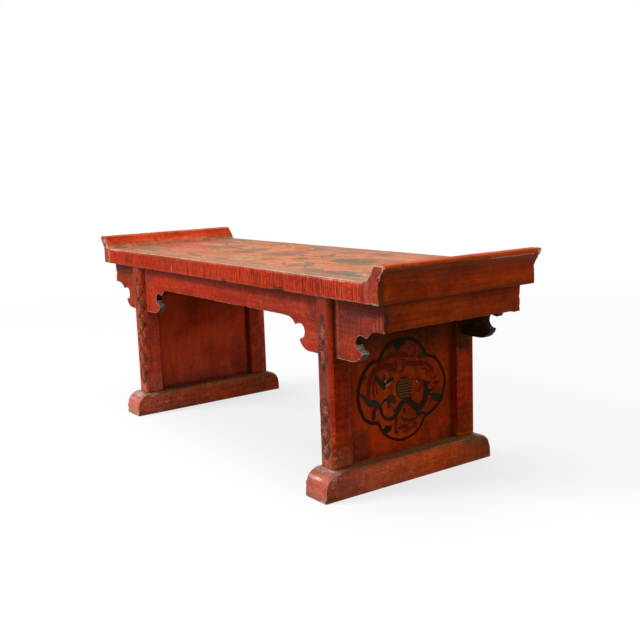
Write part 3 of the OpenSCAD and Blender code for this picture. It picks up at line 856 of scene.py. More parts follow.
def solidMesh(name, corners, place, start, end, look):
    # outline corners in a plane, swept from start to end, with rubbed rims at both ends
    look = {**usualSolid, **look}
    outline, sharp = closedOutline(corners, look["fine"], look["rounding"])
    outline = thinned(outline, look["finest"], look["across"])
    inner = inwards(outline)
    rim, rimSteps = look["rim"], look["rimSteps"]
    sweep = []
    for k in range(rimSteps):
        angle = math.pi / 2 * k / rimSteps
        sweep.append((start + rim * (1 - math.cos(angle)), rim * (1 - math.sin(angle))))
    body = [(w, 0.0) for w in stations(start, end, rim, look["along"])]
    sweep = sweep + body + [(start + end - w, inset) for w, inset in reversed(sweep)]
    count = len(outline)
    flat, depth, kind = [], [], []
    for w, inset in sweep:
        flat.append(outline + inner * inset)
        depth.append(np.full(count, w))
        kind.append(np.zeros(count))
    faces = []
    for ring in range(len(sweep) - 1):
        for k in range(count):
            a, b = ring * count + k, ring * count + (k + 1) % count
            faces.append((a, b, b + count, a + count))
    total = count * len(sweep)
    places, source, triangles = capFill(flat[0], look["cap"])
    for ringStart, w, backwards in ((0, start, True), (total - count, end, False)):
        index = []
        added = []
        for spot, origin in zip(places, source):
            if 0 <= origin < count:
                index.append(ringStart + origin)
            else:
                index.append(total + len(added))
                added.append(spot)
        if added:
            flat.append(np.array(added))
            depth.append(np.full(len(added), w))
            kind.append(np.ones(len(added)))
            total += len(added)
        for tri in triangles:
            turned = [index[k] for k in tri]
            faces.append(tuple(reversed(turned)) if backwards else tuple(turned))
    flat, depth, kind = np.vstack(flat), np.concatenate(depth), np.concatenate(kind)
    fromRim = np.minimum(depth - start, end - depth)
    loose = kind > 0
    fromEdge = np.maximum(fromRim, 0)
    if loose.any():
        fromEdge[loose] = distanceTo(flat[loose], outline)
    if len(sharp):
        fromEdge = np.minimum(fromEdge, np.linalg.norm(flat[:, None] - sharp[None], axis=2).min(1))
    points = np.array([place(u, v, w) for (u, v), w in zip(flat, depth)])
    if "joint" in look:
        points = np.array([look["joint"](p) for p in points])
    mesh = bpy.data.meshes.new(name)
    mesh.from_pydata(points.tolist(), [], faces)
    made = bmesh.new()
    made.from_mesh(mesh)
    bmesh.ops.recalc_face_normals(made, faces=made.faces)
    if made.calc_volume(signed=True) < 0:
        bmesh.ops.reverse_faces(made, faces=made.faces)
    made.to_mesh(mesh)
    made.free()
    edge = np.clip(1 - fromEdge / (look["fade"] * mm), 0, 1)
    if "keepsEdge" in look:
        edge *= np.array([look["keepsEdge"](p) for p in points])
    ageSurface(mesh, edge, look)
    mesh.attributes.new("edge", "FLOAT", "POINT").data.foreach_set("value", edge.astype(np.float32))
    mesh.shade_smooth()
    return mesh


def driftOf(seed):
    # every piece takes its waves from another place
    return Vector((seed * 3.1, seed * 1.7, 0))


def ageSurface(mesh, edge, look):
    # hand worked waviness, softened edges and chips, always inwards
    count = len(mesh.vertices)
    places = np.zeros(count * 3)
    mesh.vertices.foreach_get("co", places)
    places = places.reshape(-1, 3)
    normals = np.zeros(count * 3, np.float32)
    mesh.vertex_normals.foreach_get("vector", normals)
    normals = normals.reshape(-1, 3)
    drift = driftOf(look["seed"])
    depth = np.zeros(count)
    wavy, soft, chips = (look[key] * mm for key in ("wavy", "soft", "chipDepth"))
    for k in range(count):
        spot = Vector(places[k]) + drift
        depth[k] = wavy * (0.5 + 0.5 * noise.noise(spot * waveScale))
        if edge[k] > 0.3:
            near = edge[k] ** 3
            depth[k] += near * soft * (0.5 + 0.5 * noise.noise(spot * 95))
            chip = noise.noise(spot * 240) + 0.5 * noise.noise(spot * 60)
            depth[k] += near * chips * min(1.0, max(0.0, (chip - 0.32) / 0.25))
    for x, y, z, reach, deep in look["dents"]:
        away = np.linalg.norm((places - np.array((x, y, z)) * mm) / (np.array(reach) * mm), axis=1)
        depth += deep * mm * np.clip(1 - away ** 2, 0, 1)
    if "stays" in look:
        depth[[look["stays"](p) for p in places]] = 0
    places -= normals * depth[:, None]
    mesh.vertices.foreach_set("co", places.ravel())
    mesh.update()


def paintFaces(mesh, names, choose):
    # the finish of each face, from its middle and its direction
    for name in names:
        mesh.materials.append(finishes[name])
    order = {name: index for index, name in enumerate(names)}
    picks = [order[choose(face.center, face.normal)] for face in mesh.polygons]
    mesh.polygons.foreach_set("material_index", picks)


def addPiece(name, mesh, node):
    piece = addObject(name, mesh)
    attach(piece, "root")
    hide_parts(node)


def sideOutline(node, axis, side):
    # the outline of a node's flat face at one end of an axis, anticlockwise
    shape = bmesh.new()
    shape.from_mesh(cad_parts[node].data)
    bmesh.ops.remove_doubles(shape, verts=shape.verts, dist=1e-6)
    low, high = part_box(node)
    level = (low if side < 0 else high)[axis]
    flat = [f for f in shape.faces if all(abs(v.co[axis] - level) < 1e-5 for v in f.verts)]
    rim = {}
    for face in flat:
        for loop in face.loops:
            if sum(other in flat for other in loop.edge.link_faces) == 1:
                rim[loop.vert.index] = loop.link_loop_next.vert.index
    shape.verts.ensure_lookup_table()
    keep = [k for k in range(3) if k != axis]
    start = next(iter(rim))
    walk, here = [start], rim[start]
    while here != start:
        walk.append(here)
        here = rim[here]
    points = np.array([[shape.verts[k].co[keep[0]], shape.verts[k].co[keep[1]]] for k in walk])
    shape.free()
    following = np.roll(points, -1, axis=0)
    area = (points[:, 0] * following[:, 1] - points[:, 1] * following[:, 0]).sum()
    return points if area > 0 else points[::-1]


def addWorn(name, node, sweep, look, names, choose):
    # one worn solid that takes the place of a node; a sweep is an outline, a placing, a start and an end
    mesh = solidMesh(name, *sweep, look)
    paintFaces(mesh, names, choose)
    addPiece(name, mesh, node)


def outerY(low, high, sign):
    # the face that looks out to the front or to the back
    return low.y if sign < 0 else high.y


def rectangle(low, high):
    return [(low[0], low[1]), (high[0], low[1]), (high[0], high[1]), (low[0], high[1])]


alongX = lambda u, v, w: (w, u, v)
alongY = lambda u, v, w: (u, w, v)
alongZ = lambda u, v, w: (u, v, w)

topLow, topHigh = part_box("top_board")
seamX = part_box("everted_end_right")[0].x
underside, surface = topLow.z, topHigh.z
apronLow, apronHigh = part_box("apron_front")
apronZ = apronLow.z
apronRear = -apronHigh.y
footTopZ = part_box("foot_right")[1].z
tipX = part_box("everted_end_right")[1].x


# top board

seam = {"band": 6.5 * mm, "mouth": 1.6 * mm}
seamCorners = []
for x in (-seamX, seamX):
    seamCorners += [((0, x), (1, topLow.y)), ((0, x), (1, topHigh.y)),
                    ((0, x), (2, surface)), ((0, x), (2, underside))]


def seamWear(point):
    # no wear along the closed joint, only where it meets a real edge
    if abs(abs(point[0]) - seamX) > seam["band"]:
        return 1.0
    fromTop = min(abs(point[2] - surface), abs(point[2] - underside))
    return 1.0 if max(fromTop, abs(abs(point[1]) - topHigh.y)) < seam["mouth"] else 0.0


board = {"rounding": 1.4 * mm, "rim": 0.1 * mm, "rimSteps": 2, "along": 2.2 * mm, "across": 3.2 * mm,
         "wavy": 0.2, "soft": 0.35, "chipDepth": 0.6, "seed": 1,
         "keepsEdge": seamWear, "joint": lambda p: closeCorner(p, seamCorners),
         "dents": ((35, -106.5, 211.5, (7, 4, 3.5), 1.3), (153, -106.5, 211.5, (11, 4, 3.2), 1.5),
                   (-212, -106.5, 232.9, (5, 4, 2), 0.8), (-40, 106.5, 211.5, (9, 4, 3), 1.2))}


def boardFinish(centre, normal):
    if normal.z > 0.55:
        return "top"
    return "under" if normal.z < -0.6 else "front"


section = rectangle((topLow.y, underside), (topHigh.y, surface))
addWorn("top_plank", "top_board", (section, alongX, -seamX, seamX), board,
        ("top", "front", "under"), boardFinish)


# everted ends

evertedEnd = {"rounding": 1.6 * mm, "rim": 1.4 * mm, "along": 1.7 * mm, "across": 1.8 * mm,
              "cap": 1.6 * mm, "wavy": 0.16, "soft": 0.6, "chipDepth": 1.2, "fade": 5, "seed": 2,
              "keepsEdge": seamWear,
              "tipLoss": {"from": 0.313, "reach": 0.012, "right": {"front": 2.4, "back": 0.5},
                          "left": {"front": 0.6, "back": 0.5}}}


def endJoint(point):
    # the joint is closed, and the tips are rubbed round at their two far corners
    point = closeCorner(point, seamCorners, 1.9 * mm)
    loss = evertedEnd["tipLoss"]
    out = (abs(point[0]) - loss["from"]) / (tipX - loss["from"])
    near = (abs(point[1]) - (topHigh.y - loss["reach"])) / loss["reach"]
    if out > 0 and near > 0:
        deep = loss["right" if point[0] > 0 else "left"]["front" if point[1] < 0 else "back"] * mm
        point[0] -= math.copysign(deep * out * near ** 2, point[0])
        point[2] -= 0.25 * deep * out * near ** 2
    return point


evertedEnd["joint"] = endJoint

for side, sign in sides:
    node = "everted_end_" + side
    low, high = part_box(node)

    def endFinish(centre, normal):
        if abs(normal.y) > 0.6:
            return "endFace"
        if normal.z < -0.6 and centre.z < underside + 3 * mm:
            return "under"
        if normal.x * sign > 0.25:
            return "end"
        return "top" if abs(centre.x) < seamX + 6 * mm else "ramp"

    addWorn(node + "_worn", node, (sideOutline(node, 1, -1), alongY, low.y, high.y),
            evertedEnd, ("endFace", "end", "ramp", "top", "under"), endFinish)
print("top and everted ends made")


# aprons

apronLook = {"rounding": 0.8 * mm, "rim": 1.0 * mm, "along": 2.2 * mm, "across": 2.2 * mm, "wavy": 0.14,
             "soft": 0.4, "chipDepth": 0.8, "seed": 3,
             "dents": ((312.8, -93.6, 204, (5, 5, 5), 0.9), (312.8, -93.6, 188, (5, 4, 4), 1.1),
                       (-312.8, -93.6, 196, (5, 4, 6), 0.8))}
gluedStrip = 4 * mm      # against the board, where no edge wears

spandrelSpans = []
for side, sign in sides:
    for part in ("outer", "inner"):
        low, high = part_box("spandrel_front_%s_%s" % (side, part))
        spandrelSpans.append((low.x - 2 * mm, high.x))


def besideSpandrel(x):
    return any(low < x < high for low, high in spandrelSpans)


apronX = apronHigh.x
endCorners = [((1, y), (0, x)) for x in (-apronX, apronX) for y in (-apronRear, apronRear)]

for end, sign in fronts:
    node = "apron_" + end
    low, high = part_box(node)
    face = outerY(low, high, sign)

    def apronFinish(centre, normal):
        if normal.y * sign > 0.5:
            return "apron"
        return "end" if abs(normal.x) > 0.6 else "bare"

    def apronWear(point):
        rear = apronRear + (5.5 * mm if abs(point[0]) > apronX - 0.5 * mm else 1 * mm)
        if point[2] > underside - gluedStrip or abs(point[1]) < rear:
            return 0.0
        return 0.0 if besideSpandrel(point[0]) and point[2] < apronZ + 3 * mm else 1.0

    apronLook["keepsEdge"] = apronWear
    apronLook["joint"] = lambda point: closeCorner(
        point, endCorners + [((2, apronZ), (1, face))] * besideSpandrel(point[0]))
    section = rectangle((low.y, low.z), (high.y, high.z))
    addWorn(node + "_worn", node, (section, alongX, low.x, high.x), apronLook,
            ("apron", "end", "bare"), apronFinish)


def endApronWear(point):
    return 0.0 if point[2] > underside - gluedStrip or abs(point[1]) > apronRear - 5 * mm else 1.0


endApronLook = dict(apronLook, seed=4, cap=2.4 * mm, keepsEdge=endApronWear,
                    joint=lambda point: closeCorner(point, endCorners))

for side, sign in sides:
    node = "end_apron_" + side
    low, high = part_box(node)

    def endApronFinish(centre, normal):
        return "end" if normal.x * sign > 0.5 or normal.z < -0.7 else "bare"

    section = rectangle((low.x, low.z), (high.x, high.z))
    addWorn(node + "_worn", node, (section, alongY, -apronRear, apronRear), endApronLook,
            ("end", "bare"), endApronFinish)


# cloud spandrels

spandrelLook = {"rounding": 0.55 * mm, "fine": 0.35 * mm, "finest": 0.5 * mm, "rim": 0.6 * mm,
                "along": 1.2 * mm, "across": 1.6 * mm, "cap": 1.8 * mm, "wavy": 0.12, "soft": 0.3,
                "chipDepth": 0.7, "fade": 4.5, "seed": apronLook["seed"],
                "keepsEdge": lambda p: 0.0 if p[2] > apronZ - 2 * mm else 1.0}
hollowShadeFrom, wallFrom = 14 * mm, 20 * mm      # below the apron's lower edge

for end, sign in fronts:
    for side, _ in sides:
        for part in ("outer", "inner"):
            node = "spandrel_%s_%s_%s" % (end, side, part)
            low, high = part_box(node)
            outward = outerY(low, high, sign)

            def spandrelFinish(centre, normal):
                if normal.y * sign > 0.45:
                    return "apron"
                if abs(normal.y) > 0.45:
                    return "bare"
                # the back spandrels and the top of the notch are painted near black as painted shade; lower
                # down, a lip that faces up is pale with dust and painted light, and the walls are a dark
                # grey-brown
                if sign > 0 or centre.z > apronZ - hollowShadeFrom:
                    return "hollow"
                if normal.z > 0.3:
                    return "lip"
                return "wall" if centre.z < apronZ - wallFrom else "hollow"

            spandrelLook["joint"] = lambda point: closeCorner(point, [((2, apronZ), (1, outward))])
            sweep = (sideOutline(node, 1, sign), alongY, low.y, high.y)
            addWorn(node + "_carved", node, sweep, spandrelLook,
                    ("apron", "bare", "lip", "wall", "hollow"), spandrelFinish)
print("aprons and spandrels made")


# posts

postLook = {"rounding": 0.8 * mm, "rim": 0.5 * mm, "along": 1.7 * mm, "across": 1.8 * mm, "cap": 2.4 * mm,
            "wavy": 0.12, "soft": 0.25, "chipDepth": 0.6,
            "corners": {"front": (1.2 * mm, 5.0 * mm), "back": (1.4 * mm, 1.4 * mm)},
            "keepsEdge": lambda p: 0.0 if p[2] > underside - 6 * mm else 1.0}


def postSeed(half, sign):
    return 9 + half + 2 * sign


def postSection(low, high, sign, radii):
    # rectangle with both corners rounded at the face that looks out of the trestle
    face, back = outerY(low, high, sign), outerY(low, high, -sign)
    lowRadius, highRadius = radii
    steps = 8
    points = [(low.x, back), (high.x, back)]
    for middle, radius, start in ((high.x - highRadius, highRadius, 0), (low.x + lowRadius, lowRadius, 90)):
        for k in range(steps + 1):
            angle = math.radians(start + 90 * k / steps)
            level = face - sign * radius * (1 - math.sin(angle))
            points.append((middle + radius * math.cos(angle), level))
    return points if sign > 0 else points[::-1]


for end, sign in fronts:
    for side, half in sides:
        node = "post_%s_%s" % (end, side)
        low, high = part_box(node)
        radii = postLook["corners"][end]
        face = outerY(low, high, sign)

        def postFinish(centre, normal):
            if sign < 0 and abs(centre.y - face) < radii[1] * 0.75 and normal.x > 0.28:
                return "postCorner"
            return "postFront" if normal.y * sign > 0.6 else "postSide"

        postLook["seed"] = postSeed(half, sign)
        sweep = (postSection(low, high, sign, radii), alongZ, footTopZ, underside)
        addWorn(node + "_worn", node, sweep, postLook,
                ("postFront", "postSide", "postCorner"), postFinish)


# shoe feet

footLook = {"rounding": 1.2 * mm, "rim": 1.3 * mm, "along": 1.8 * mm, "across": 1.9 * mm, "cap": 2.4 * mm,
            "wavy": 0.2, "soft": 0.6, "chipDepth": 1.1, "seed": 14,
            "keepsEdge": lambda p: 1.0 if abs(p[1]) > 98 * mm and p[2] > 4 * mm else 0.55,
            "stays": lambda p: p[2] < 0.5 * mm}
toeLength = 19 * mm

for side, sign in sides:
    node = "foot_" + side
    low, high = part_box(node)

    def footFinish(centre, normal):
        if abs(normal.x) > 0.55:
            return "footSide"
        if normal.z < -0.6:
            return "bare"
        return "footFront" if abs(centre.y) > high.y - toeLength else "footTop"

    addWorn(node + "_worn", node, (sideOutline(node, 0, sign), alongX, low.x, high.x),
            footLook, ("footSide", "footFront", "footTop", "bare"), footFinish)


# panels, rails and pegs inside the trestles

panelLook = {"rounding": 0.5 * mm, "rim": 0.5 * mm, "rimSteps": 2, "along": 1.5 * mm, "across": 2.6 * mm,
             "cap": 2.6 * mm, "wavy": 0.25, "soft": 0.1, "chipDepth": 0.2, "seed": 17}
railLook = dict(panelLook, rounding=0.9 * mm, rim=0.8 * mm, along=3.0 * mm, wavy=0.15)
pegLook = {"rounding": 0.3 * mm, "fine": 0.3 * mm, "finest": 0.4 * mm, "rim": 0.5 * mm, "along": 3.0 * mm,
           "across": 0.8 * mm, "cap": 1.2 * mm, "wavy": 0.05, "soft": 0.2, "chipDepth": 0.2,
           "diameter": 5.0 * mm}


def addPegs(node, look):
    # two round pegs side by side make one piece
    low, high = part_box(node)
    radius, centreZ = look["diameter"] / 2, (low.z + high.z) / 2
    turns = [math.radians(angle) for angle in range(0, 360, 15)]
    joined = bmesh.new()
    for centreY in (low.y + radius, high.y - radius):
        circle = [(centreY + radius * math.cos(a), centreZ + radius * math.sin(a)) for a in turns]
        one = solidMesh("peg", circle, alongX, low.x, high.x, look)
        joined.from_mesh(one)
        bpy.data.meshes.remove(one)
    mesh = bpy.data.meshes.new(node + "_worn")
    joined.to_mesh(mesh)
    joined.free()
    mesh.shade_smooth()
    paintFaces(mesh, ("peg",), lambda centre, normal: "peg")
    addPiece(node + "_worn", mesh, node)


for side, sign in sides:
    node = "panel_" + side
    low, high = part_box(node)
    section = rectangle((low.y, low.z), (high.y, high.z))
    addWorn(node + "_board", node, (section, alongX, low.x, high.x), panelLook,
            ("panel", "panelInside"),
            lambda centre, normal: "panelInside" if normal.x * sign < -0.5 else "panel")

    node = "top_rail_" + side
    low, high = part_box(node)
    postRear = -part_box("post_front_" + side)[1].y
    section = rectangle((low.x, low.z), (high.x, high.z))
    addWorn(node + "_worn", node, (section, alongY, -postRear, postRear), railLook,
            ("bare",), lambda centre, normal: "bare")
    addPegs("foot_pegs_" + side, pegLook)
print("trestles made")


# painted ornament

def brushStrokeTree():
    # broken lines become flat brush strokes, repeated in a row or round a centre
    tree = bpy.data.node_groups.new("brushStrokes", "GeometryNodeTree")
    sockets = {"Geometry": "Geometry", "Copies": "Int", "Step": "Vector", "Turn": "Float",
               "Point Spacing": "Float", "Paint": "Material"}
    for name, kind in sockets.items():
        tree.interface.new_socket(name, in_out="INPUT", socket_type="NodeSocket" + kind)
    tree.interface.new_socket("Geometry", in_out="OUTPUT", socket_type="NodeSocketGeometry")

    def add(kind, inputs=None, **settings):
        return addNode(tree, "GeometryNode" + kind, inputs, **settings).outputs[0]

    given = addNode(tree, "NodeGroupInput").outputs
    row = add("MeshLine", {"Count": given["Copies"], "Offset": given["Step"]}, mode="OFFSET")
    turn = addNode(tree, "ShaderNodeMath", {0: add("InputIndex"), 1: given["Turn"]}, operation="MULTIPLY")
    angles = addNode(tree, "ShaderNodeCombineXYZ", {"Z": turn.outputs[0]})
    rotation = addNode(tree, "FunctionNodeEulerToRotation", {0: angles.outputs[0]})
    copies = add("InstanceOnPoints",
                 {"Points": row, "Instance": given["Geometry"], "Rotation": rotation.outputs[0]})
    lines = add("MeshToCurve", {"Mesh": add("RealizeInstances", {0: copies})})
    flowing = add("CurveSplineType", {"Curve": lines}, spline_type="CATMULL_ROM")
    even = add("ResampleCurve", {"Curve": flowing, "Length": given["Point Spacing"]}, mode="LENGTH")
    upright = add("SetCurveNormal", {"Curve": even}, mode="Z_UP")

    brush = add("CurvePrimitiveLine", {"Start": (-1, 0, 0), "End": (1, 0, 0)})
    bristles = add("ResampleCurve", {"Curve": brush, "Count": 5}, mode="COUNT")
    apart = addNode(tree, "ShaderNodeSeparateXYZ", {0: add("InputPosition")})
    across = add("StoreNamedAttribute",
                 {"Geometry": bristles, "Name": "across", "Value": apart.outputs["X"]},
                 data_type="FLOAT", domain="POINT")
    width = add("InputNamedAttribute", {"Name": "halfWidth"}, data_type="FLOAT")
    stroke = add("CurveToMesh", {"Curve": upright, "Profile Curve": across, "Scale": width})
    laid = add("RealizeInstances", {0: stroke})
    coated = add("SetMaterial", {"Geometry": laid, "Material": given["Paint"]})
    addNode(tree, "NodeGroupOutput", {0: coated})
    return tree


strokeTree = brushStrokeTree()
layerGap = 0.006 * mm      # each stroke lies a hair above the one before


def paintStrokes(strokes, paint, copies=1, step=(0, 0, 0), turn=0.0, spacing=1.0, height=0.05, gap=layerGap):
    # strokes are (colour, points), and a point is u, v and half a width in millimetres
    places, edges, widths, colours = [], [], [], []
    for order, (colour, points) in enumerate(strokes):
        for k, (u, v, half) in enumerate(points):
            rise = height * mm + order * gap + 0.4 * gap * k / len(points)
            places.append((u * mm, v * mm, rise))
            widths.append(half * mm)
            colours += tint(*colour)
            if k:
                edges.append((len(places) - 2, len(places) - 1))
    mesh = bpy.data.meshes.new("strokes")
    mesh.from_pydata(places, edges, [])
    mesh.attributes.new("halfWidth", "FLOAT", "POINT").data.foreach_set("value", widths)
    mesh.attributes.new("paint", "FLOAT_COLOR", "POINT").data.foreach_set("color", colours)
    line = addObject("strokes", mesh)
    modifier = line.modifiers.new("strokes", "NODES")
    modifier.node_group = strokeTree
    values = {"Copies": copies, "Step": [value * mm for value in step], "Turn": math.radians(turn),
              "Point Spacing": spacing * mm, "Paint": paint}
    for socket in strokeTree.interface.items_tree:
        if socket.in_out == "INPUT" and socket.name in values:
            modifier[socket.identifier] = values[socket.name]
    bpy.context.view_layer.update()
    made = bpy.data.meshes.new_from_object(line.evaluated_get(bpy.context.evaluated_depsgraph_get()))
    line.modifiers.clear()
    bpy.data.objects.remove(line)
    if sum(face.normal.z for face in made.polygons) < 0:
        made.flip_normals()
    return made


def placed(mesh, matrix):
    mesh.transform(matrix)
    if matrix.to_3x3().determinant() < 0:
        mesh.flip_normals()
    return mesh


def at(u, v, angle=0.0, size=1.0, flip=False):
    # where a motif goes on the painting, in millimetres and degrees
    grow = Matrix.Diagonal((size, -size if flip else size, 1, 1))
    return Matrix.Translation((u * mm, v * mm, 0)) @ Matrix.Rotation(math.radians(angle), 4, "Z") @ grow


def paintedPiece(name, meshes, plane, look):
    # all strokes of one painting, laid on the wavy wood under them
    objects = [addObject(name, mesh) for mesh in meshes]
    with bpy.context.temp_override(active_object=objects[0], selected_editable_objects=objects):
        bpy.ops.object.join()
    mesh = placed(objects[0].data, plane)
    normal = plane.to_3x3() @ Vector((0, 0, 1))
    drift = driftOf(look["seed"])
    for point in mesh.vertices:
        stray = noise.noise_vector(point.co * 260) * look.get("ragged", 0.0) * mm
        point.co += stray - normal * stray.dot(normal)
        depth = look["wavy"] * mm * (0.5 + 0.5 * noise.noise((point.co + drift) * waveScale))
        if "drop" in look:
            depth += look["drop"](point.co)
        point.co -= normal * depth
    mesh.shade_smooth()
    objects[0].name = name
    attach(objects[0], "root")


ink = (34, 20, 8)
scaleInk = (30, 28, 21)
bodyInk = (38, 37, 31)
green = (42, 39, 16)
olive = (60, 35, 13)
topGreen = (19, 24, 15)
maroon = (78, 22, 10)
plum = (82, 28, 11)
pale = (132, 100, 74)

# how much of each paint is left, on which lacquer
paints = {
    "panelPaint": ("panel", {"from": 0.26, "to": 0.44, "cover": 0.95, "edgeLoss": 0.3}),
    "featherPaint": ("panel", {"from": 0.36, "to": 0.66, "cover": 0.85, "edgeLoss": 0.35}),
    "postPaint": ("postFront", {"from": 0.3, "to": 0.6, "cover": 0.85, "edgeLoss": 0.3}),
    "topPaint": ("top", {"from": 0.36, "to": 0.72, "cover": 0.85, "edgeLoss": 0.45}),
    "dragPaint": ("front", {"from": 0.4, "to": 0.8, "cover": 0.65, "edgeLoss": 0.4}),
}
panelPaint, featherPaint, postPaint, topPaint, dragPaint = (
    paintOn(name, looks[under], keep) for name, (under, keep) in paints.items())

# the traditional medallion of dragon and phoenix, u and v from its middle
medallionMiddle = (2.0, 98.0)
# how high each layer of paint lies, in millimetres
medallionHeights = {"feathers": 0.04, "bodies": 0.16, "disc": 0.5, "waves": 0.56}

frameLobes = (
    ((-33.5, 35, 2.2), (-26.5, 46, 2.3), (-15, 54, 2.3), (0, 56.3, 2.2), (14, 54, 2.0), (25, 46, 2.0),
     (35, 32.7, 2.1)),
    ((35, 32.7, 1.9), (46.5, 28.5, 1.7), (55, 18.5, 1.8), (60, 8, 1.7), (61.5, -1, 1.6), (59.5, -12, 1.5),
     (55, -21.5, 1.6), (46, -29.5, 1.7), (38, -33.5, 1.7), (30, -36.6, 1.6)),
    ((30, -36.6, 1.4), (26, -44, 1.4), (17, -52, 1.3), (0, -56.6, 1.4), (-14, -54, 1.4),
     (-24, -48.5, 1.5), (-31, -42, 1.6), (-35.6, -32, 1.8)),
    ((-35.6, -31, 2.0), (-46, -29.5, 2.1), (-55, -23, 2.2), (-61, -10, 2.2), (-62.7, 1, 2.2),
     (-61, 11, 2.1), (-57, 22, 2.1), (-50, 31, 2.0), (-41, 36.5, 2.0), (-33.5, 35, 2.0)),
)
dragonTail = (
    ((-61.5, 4, 1.2), (-56.5, 2, 2.0), (-52.5, -2.5, 2.6), (-48.5, -7.5, 3.4), (-42, -8.7, 4.0),
     (-35.6, -11.6, 3.2), (-33, -15, 2.4)),
)
dragon = (
    ((-34.5, -13.5, 2.0), (-32, -17.3, 2.0), (-30.5, -23, 1.8), (-26.5, -28, 1.9), (-20, -30.4, 2.1),
     (-13.4, -29, 2.5), (-9, -23.7, 3.2), (-5, -18, 3.2), (1, -13.7, 3.2), (7.3, -14.4, 3.7),
     (13.7, -20, 4.0), (20, -24.4, 4.2), (26.6, -23, 4.0), (31.6, -16, 3.7), (33, -8.7, 3.6),
     (32.8, -1.5, 3.2), (31.5, 4.5, 2.0)),
    ((-30.5, -13, 1.3), (-28.4, -8.8, 1.5), (-24, -7.8, 1.5), (-21, -11, 1.4), (-20.4, -17.5, 0.9)),
    ((-38.5, -14, 2.6), (-41.6, -19, 2.6), (-42.6, -27.5, 2.2)),
    ((-10.6, -30, 1.4), (-11.3, -37.3, 1.1), (-12, -44, 1.1), (-11.3, -47, 1.9), (-8, -46, 0.8)),
    ((30, 4.4, 1.6), (27, 5.6, 0.5)),
    ((34.5, 2.5, 1.2), (37.4, 1.0, 1.2), (41, 3.4, 0.3)),
    ((34.5, -7, 1.4), (39.8, -8.4, 1.4), (45.5, -5.6, 0.3)),
    ((35.5, -11, 1.2), (39.5, -12.5, 1.0), (41.5, -15, 0.4)),
    ((8, -13, 1.4), (11, -10, 1.0), (9.5, -8, 0.3)),
    ((18, -29, 1.2), (22, -31.5, 2.2), (28, -32, 1.8), (33, -33.5, 1.0)),
)
clouds = (
    ((41, -14.5, 3.0), (46, -16.5, 4.9), (54, -18, 4.6), (58, -18, 2.5)),
    ((-24, -6.5, 1.6), (-19.5, -7, 4.4), (-14.5, -9, 4.0), (-12.4, -14, 1.6)),
    ((-59, 20.5, 2.0), (-55, 21.6, 3.4), (-50, 20, 1.2)),
    ((-56, 26, 1), (-54.5, 24.5, 2.2), (-53, 22, 1)),
    ((21, 32, 1.6), (26.5, 34.0, 3.4), (33, 34, 3.0)),
)
topCloud = (
    ((-13, 51.5, 1.5), (-6, 51.0, 4.2), (4, 52.5, 1.8)),
    ((-10, 48.5, 1.2), (-6.6, 47.6, 3.6), (-2, 49.5, 1.6)),
    ((-6.8, 46.6, 1.6), (-6.4, 44.6, 0.5)),
    ((-30.5, -42.6, 2.0), (-24.6, -41.2, 4.6), (-17.5, -39.2, 2.0)),
)
olives = (
    ((0.5, -21, 1.4), (0.8, -25, 2.8), (1.5, -28.5, 1.6)),
    ((-3.5, -29.5, 1.2), (-1.5, -33, 1.9), (4, -35.8, 1.8), (11, -36.8, 1.6), (18, -36, 1.2),
     (24, -33, 0.6)),
    ((-15, -20, 0.8), (-11, -22, 2.6), (-6, -20.5, 2.2)),
)
wing = (
    ((-38.5, 21, 1.2), (-36, 17.5, 2.2), (-33, 13.5, 2.4), (-28.5, 9.5, 3.6), (-27, 5, 2.0),
     (-26.8, 3, 0.7)),
    ((-26.5, 20, 0.5), (-26, 16.5, 1.7), (-26.8, 12, 2.2)),
    ((-24.5, 10.5, 1.0), (-20, 12.5, 2.2), (-16, 13.6, 2.2), (-13.4, 15.6, 0.6)),
)
feathers = (
    ((-47.5, -5, 1.2), (-48.5, 3, 2.2), (-47.6, 12, 3.0), (-43.5, 21.5, 3.4), (-36.5, 29, 3.4),
     (-28, 35, 3.2), (-17, 39.6, 3.2), (-7, 40.4, 3.4), (2, 38.2, 3.0), (9, 35.2, 1.4)),
    ((-40.5, -3, 0.8), (-41.6, 5, 1.3), (-41, 13, 1.5), (-37, 20, 1.2)),
    ((-36.5, 0, 0.6), (-37, 5, 1.1), (-36.5, 10, 0.6)),
    ((-34, 26, 1.0), (-26, 29.4, 2.8), (-17.5, 28.8, 3.0), (-12, 24.5, 1.6), (-11.5, 19, 0.7)),
    ((-22, 23.8, 1.2), (-16.5, 24.2, 2.0), (-13, 21.5, 0.8)),
    ((-11, 33, 0.8), (-8.6, 28, 1.2), (-9, 23, 0.9)),
    ((0.5, 34, 1.6), (1.8, 28, 2.0), (0, 21.5, 1.6), (-5, 19.4, 1.0)),
    ((1.5, 31.7, 1.8), (7, 28.2, 2.8), (14, 26.6, 3.0), (21, 25.6, 3.0), (28, 24.4, 2.9), (35, 22.4, 2.6),
     (40.5, 17.5, 1.6), (43, 12, 0.6)),
    ((9, 35, 1.0), (14, 34.6, 1.3), (17.6, 38.8, 1.5), (18.2, 43.2, 1.4), (15, 47, 1.1), (10, 47.4, 0.9)),
    ((7, 43.6, 0.6), (9.4, 44.6, 1.4), (11.6, 43, 0.6)),
    ((26, 18.6, 0.6), (33, 17.4, 1.4), (39, 12.4, 1.0), (41.4, 7, 0.4)),
    ((33, 15, 0.5), (34.6, 11, 1.2), (38, 8.6, 0.6)),
    ((40, 21, 0.5), (43.6, 16.4, 1.3), (45, 10.6, 0.7)),
    ((41, 6, 0.5), (46, 5.4, 1.2), (51, 7, 0.5)),
    ((43, -1, 0.5), (48, -0.4, 1.7), (53.5, -2.4, 0.8)),
    ((-7.5, -43.4, 1.4), (-1, -42.2, 2.6), (5, -44.4, 2.6), (8.6, -47, 1.2)),
    ((16.5, 7.6, 0.5), (13, 9.6, 1.3), (14.6, 12, 0.5)),
    ((18, -4.4, 0.6), (21.6, -5.6, 1.4), (25, -6.4, 0.7)),
)
